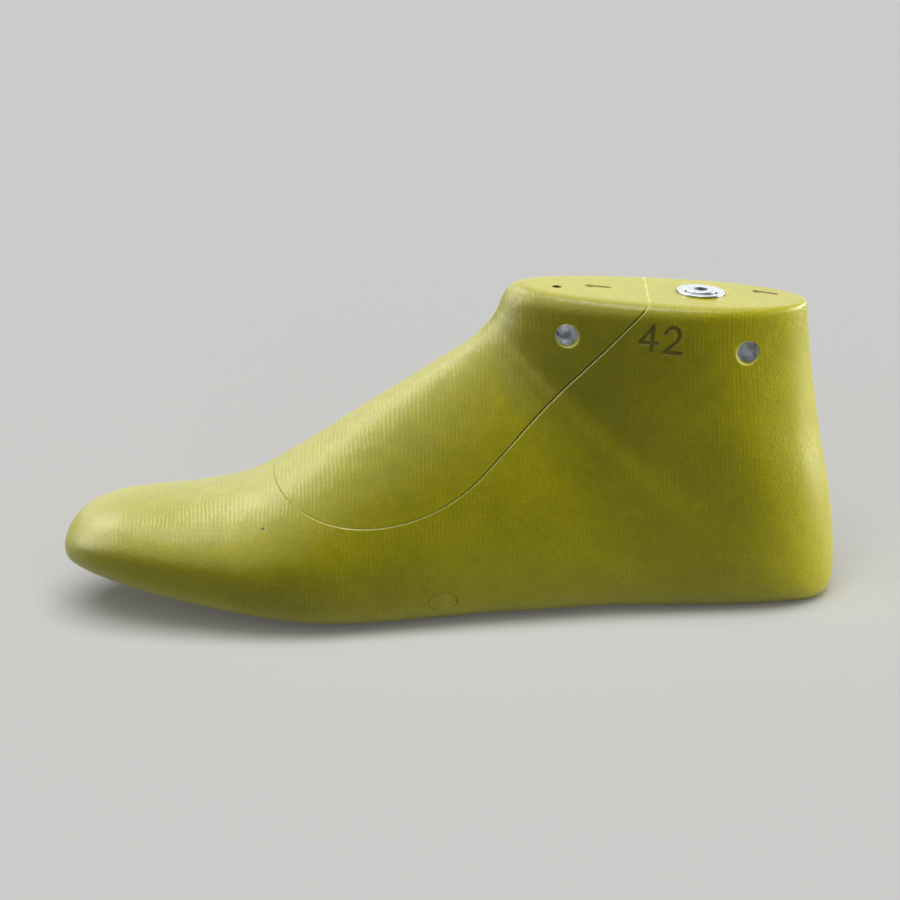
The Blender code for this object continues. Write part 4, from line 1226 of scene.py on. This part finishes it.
class SHOELAST_OT_thimble(bpy.types.Operator):
    """Sets the flanged thimble and its socket-headed screw in the cone top"""

    bl_idname = "shoe_last.thimble"
    bl_label = "Thimble and Screw"

    def execute(self, context):
        zinc = material("steel_zinc_plated", zinc_plate)
        edge = sizes().steel_edge / MM
        top = rim_matrix(*thimble_place())
        flange = 0.5 * flange_diameter()
        sleeve = 0.5 * SLEEVE_DIAMETER
        bore = 0.5 * SLEEVE_BORE
        recess = 0.5 * HEAD_DIAMETER + HEAD_GAP
        under = FLANGE_PROUD - FLANGE_THICKNESS
        seat = FLANGE_PROUD + HEAD_PROUD - HEAD_HEIGHT - FIT
        corners = [
            (flange, FLANGE_PROUD, True), (flange, under, True), (COLLAR_RADIUS, under, False),
            (COLLAR_RADIUS, seat - COLLAR_WALL, True), (sleeve, seat - COLLAR_WALL, True),
            (sleeve, -SLEEVE_LENGTH, True), (bore, -SLEEVE_LENGTH, True), (bore, seat, True), (recess, seat, False),
            (recess, FLANGE_PROUD - DISH_DEPTH, False), (recess + DISH_WIDTH, FLANGE_PROUD, True),
        ]
        thimble = turned("flanged_thimble", rounded(corners, edge), top, zinc, closed=True)
        high = FLANGE_PROUD + HEAD_PROUD
        head = 0.5 * HEAD_DIAMETER
        low = high - HEAD_HEIGHT
        shank = 0.5 * SHANK_DIAMETER
        end = low - SHANK_LENGTH
        corners = [
            (0.0, high, False), (head, high, True), (head, low, True), (shank, low, False),
            (shank, end + SHANK_CHAMFER, True), (shank - SHANK_CHAMFER, end, True), (0.0, end, False),
        ]
        screw = turned("socket_screw", rounded(corners, edge), top, zinc)
        socket_cut = rod("socket", SOCKET_WIDTH / math.cos(math.radians(30)), 2 * SOCKET_DEPTH,
                         top @ Matrix.Translation(UP * (high * MM)), steps=6)
        cut(screw, [socket_cut], zinc)
        for piece, node in ((thimble, "jack_thimble"), (screw, "thimble_screw")):
            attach(piece, "body")
            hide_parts(node)
        return {"FINISHED"}


class SHOELAST_OT_tongue(bpy.types.Operator):
    """Lets the tongue plate and its rail into the body's incline"""

    bl_idname = "shoe_last.tongue"
    bl_label = "Tongue and Rail"

    def execute(self, context):
        zinc = material("steel_zinc_plated", zinc_plate)
        edge = sizes().steel_edge
        bed = -FLUSH - TONGUE_THICKNESS
        low = KEEPER_LOW + KEEPER_LIP + FIT
        high = low + RAIL_HEAD_THICKNESS
        plate = slab("tongue_with_rail", TONGUE_LENGTH, TONGUE_WIDTH, bed, -FLUSH, TONGUE_MIDDLE, edge)
        web = slab("web", RAIL_LENGTH, RAIL_WEB, 0.5 * (bed - FLUSH), 0.5 * (low + high), TONGUE_MIDDLE)
        head = slab("head", RAIL_LENGTH, RAIL_HEAD_WIDTH, low, high, TONGUE_MIDDLE, edge)
        plate.data.materials.append(zinc)
        cut(plate, [web], zinc, "UNION")
        cut(plate, [head], zinc, "UNION")
        places = [incline_matrix(along, -FLUSH) for along in TONGUE_SCREWS]
        cut(plate, [turned("countersink", COUNTERSINK, place, zinc) for place in places], zinc)
        screws = wood_screws("tongue_screws", places, zinc)
        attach(plate, "body")
        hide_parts("tongue_plate")
        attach(screws, "body")
        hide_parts("tongue_screw_lower", "tongue_screw_upper")
        return {"FINISHED"}


class SHOELAST_OT_keeper(bpy.types.Operator):
    """Sets the keeper channel, its screws and its catch spring in the block"""

    bl_idname = "shoe_last.keeper"
    bl_label = "Keeper and Spring"

    def execute(self, context):
        zinc = material("steel_zinc_plated", zinc_plate)
        edge = sizes().steel_edge
        middle = KEEPER_START + 0.5 * KEEPER_LENGTH
        inner = RAIL_HEAD_WIDTH + 2 * FIT
        outer = inner + 2 * KEEPER_WALL
        lip_top = KEEPER_LOW + KEEPER_LIP
        floor = lip_top + KEEPER_CAVITY
        back = floor + KEEPER_FLOOR
        channel = slab("keeper", KEEPER_LENGTH, outer, KEEPER_LOW, back, middle, edge)
        channel.data.materials.append(zinc)
        long = KEEPER_LENGTH + 2 * OVERRUN
        lip = KEEPER_LIP + FIT
        tools = [
            slab("cavity", long, inner, lip_top, floor, middle, edge),
            slab("slot", long, RAIL_WEB + 2 * FIT, KEEPER_LOW - lip, KEEPER_LOW + lip, middle),
        ]
        places = []
        for along in KEEPER_SCREWS:
            tools.append(rod("access", ACCESS_DIAMETER, 2 * lip, incline_matrix(along, KEEPER_LOW)))
            face_out = incline_matrix(along, floor + FLUSH) @ Matrix.Rotation(math.radians(180), 4, "X")
            tools.append(turned("countersink", COUNTERSINK, face_out, zinc))
            places.append(face_out)
        cut(channel, tools, zinc)
        screws = wood_screws("keeper_screws", places, zinc)

        rail_top = lip_top + FIT + RAIL_HEAD_THICKNESS
        low, high = rail_top + FIT, floor - FIT
        bow = high - low - SPRING_THICKNESS
        shares = [2 * i / SPRING_STEPS - 1 for i in range(SPRING_STEPS + 1)]
        outline = [(0.5 * SPRING_LENGTH * share, high - bow * (1 - share**2)) for share in shares]
        outline += [(x, z - SPRING_THICKNESS) for x, z in reversed(outline)]
        spring = prism("bowed_spring", outline, 0.5 * SPRING_WIDTH, incline_matrix(middle))
        spring.data.materials.append(material("steel_tempered_strip", spring_strip))
        ease = spring.modifiers.new("ease", "BEVEL")
        ease.width = SPRING_EDGE * MM
        ease.segments = 2
        ease.limit_method = "ANGLE"
        ease.angle_limit = math.radians(50)
        baked(spring)

        for piece, nodes, slot in (
            (channel, ("keeper_channel",), "zinc_plated_steel"),
            (screws, ("keeper_screw_lower", "keeper_screw_upper"), "zinc_plated_steel"),
            (spring, ("catch_spring",), "spring_steel"),
        ):
            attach(piece, "block")
            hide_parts(*nodes)
        return {"FINISHED"}


class SHOELAST_OT_stage(bpy.types.Operator):
    """Lays the paper floor, sets the lights and places the camera"""

    bl_idname = "shoe_last.stage"
    bl_label = "Stage"

    def execute(self, context):
        scene = context.scene
        bm = bmesh.new()
        bmesh.ops.create_grid(bm, x_segments=8, y_segments=8, size=FLOOR_HALF)
        floor = to_object(bm, "paper_floor", Matrix.Translation((0.0, 0.0, -FLOOR_GAP)))
        floor.data.materials.append(material("paper_matte", studio_paper))

        world = bpy.data.worlds.new("studio")
        world.use_nodes = True
        sky = world.node_tree.nodes["Background"]
        sky.inputs["Color"].default_value = (1.0, 1.0, 1.0, 1.0)
        sky.inputs["Strength"].default_value = SKY_STRENGTH
        scene.world = world

        liners = [bpy.data.objects[name] for name in ("front_hook_liner", "rear_hook_liner")]
        lit = {}
        for name, objects in (("paper", [floor]), ("tubes", liners), ("off_paper", [floor])):
            lit[name] = bpy.data.collections.new(name)
            for obj in objects:
                lit[name].objects.link(obj)
        lit["off_paper"].collection_objects[0].light_linking.link_state = "EXCLUDE"
        for name, toward, strength, angle, lights in LAMPS:
            lamp = bpy.data.lights.new(name, "SUN")
            lamp.energy = strength
            lamp.angle = math.radians(angle)
            obj = bpy.data.objects.new(name, lamp)
            obj.rotation_euler = Vector(toward).to_track_quat("Z", "Y").to_euler()
            obj.visible_diffuse = lights != "sheen"
            obj.visible_glossy = lights != "matte"
            obj.light_linking.receiver_collection = lit.get(lights, lit["off_paper"])
            scene.collection.objects.link(obj)

        ahead = Vector((0.0, math.cos(ELEVATION), -math.sin(ELEVATION)))
        level = Vector((1.0, 0.0, 0.0))
        up = level.cross(ahead)
        right = math.cos(ROLL) * level - math.sin(ROLL) * up
        top = math.sin(ROLL) * level + math.cos(ROLL) * up
        lens = bpy.data.cameras.new("camera")
        lens.lens = LENS
        lens.sensor_width = SENSOR
        lens.shift_x, lens.shift_y = (pixels / PICTURE_WIDTH for pixels in PICTURE_SHIFT)
        lens.clip_end = 50.0
        camera = bpy.data.objects.new("camera", lens)
        axes = Matrix((right, top, -ahead)).transposed().to_4x4()
        camera.matrix_world = Matrix.Translation(AIM - DISTANCE * ahead) @ axes
        scene.collection.objects.link(camera)
        scene.camera = camera
        scene.view_settings.view_transform = "Standard"
        return {"FINISHED"}


PIECES = (
    SHOELAST_OT_plastic,
    SHOELAST_OT_plug,
    SHOELAST_OT_hook_tubes,
    SHOELAST_OT_thimble,
    SHOELAST_OT_tongue,
    SHOELAST_OT_keeper,
    SHOELAST_OT_stage,
)


class SHOELAST_PT_pieces(bpy.types.Panel):
    """Sizes, colours and pieces of the shoe last"""

    bl_idname = "SHOELAST_PT_pieces"
    bl_label = "Shoe Last"
    bl_space_type = "VIEW_3D"
    bl_region_type = "UI"
    bl_category = "Shoe Last"

    def draw(self, context):
        layout = self.layout
        for group in (context.scene.last_sizes, context.scene.last_colours):
            box = layout.box()
            for key in group.__annotations__:
                box.prop(group, key)
        for piece in PIECES:
            layout.operator(piece.bl_idname)


CLASSES = (LastSizes, LastColours, *PIECES, SHOELAST_PT_pieces)


def register():
    for cls in CLASSES:
        bpy.utils.register_class(cls)
    bpy.types.Scene.last_sizes = PointerProperty(type=LastSizes)
    bpy.types.Scene.last_colours = PointerProperty(type=LastColours)


def unregister():
    del bpy.types.Scene.last_colours
    del bpy.types.Scene.last_sizes
    for cls in reversed(CLASSES):
        bpy.utils.unregister_class(cls)


def main():
    register()
    bpy.ops.shoe_last.plastic()
    bpy.ops.shoe_last.plug()
    bpy.ops.shoe_last.hook_tubes()
    bpy.ops.shoe_last.thimble()
    bpy.ops.shoe_last.tongue()
    bpy.ops.shoe_last.keeper()
    bpy.ops.shoe_last.stage()


if __name__ == "__main__":
    main()
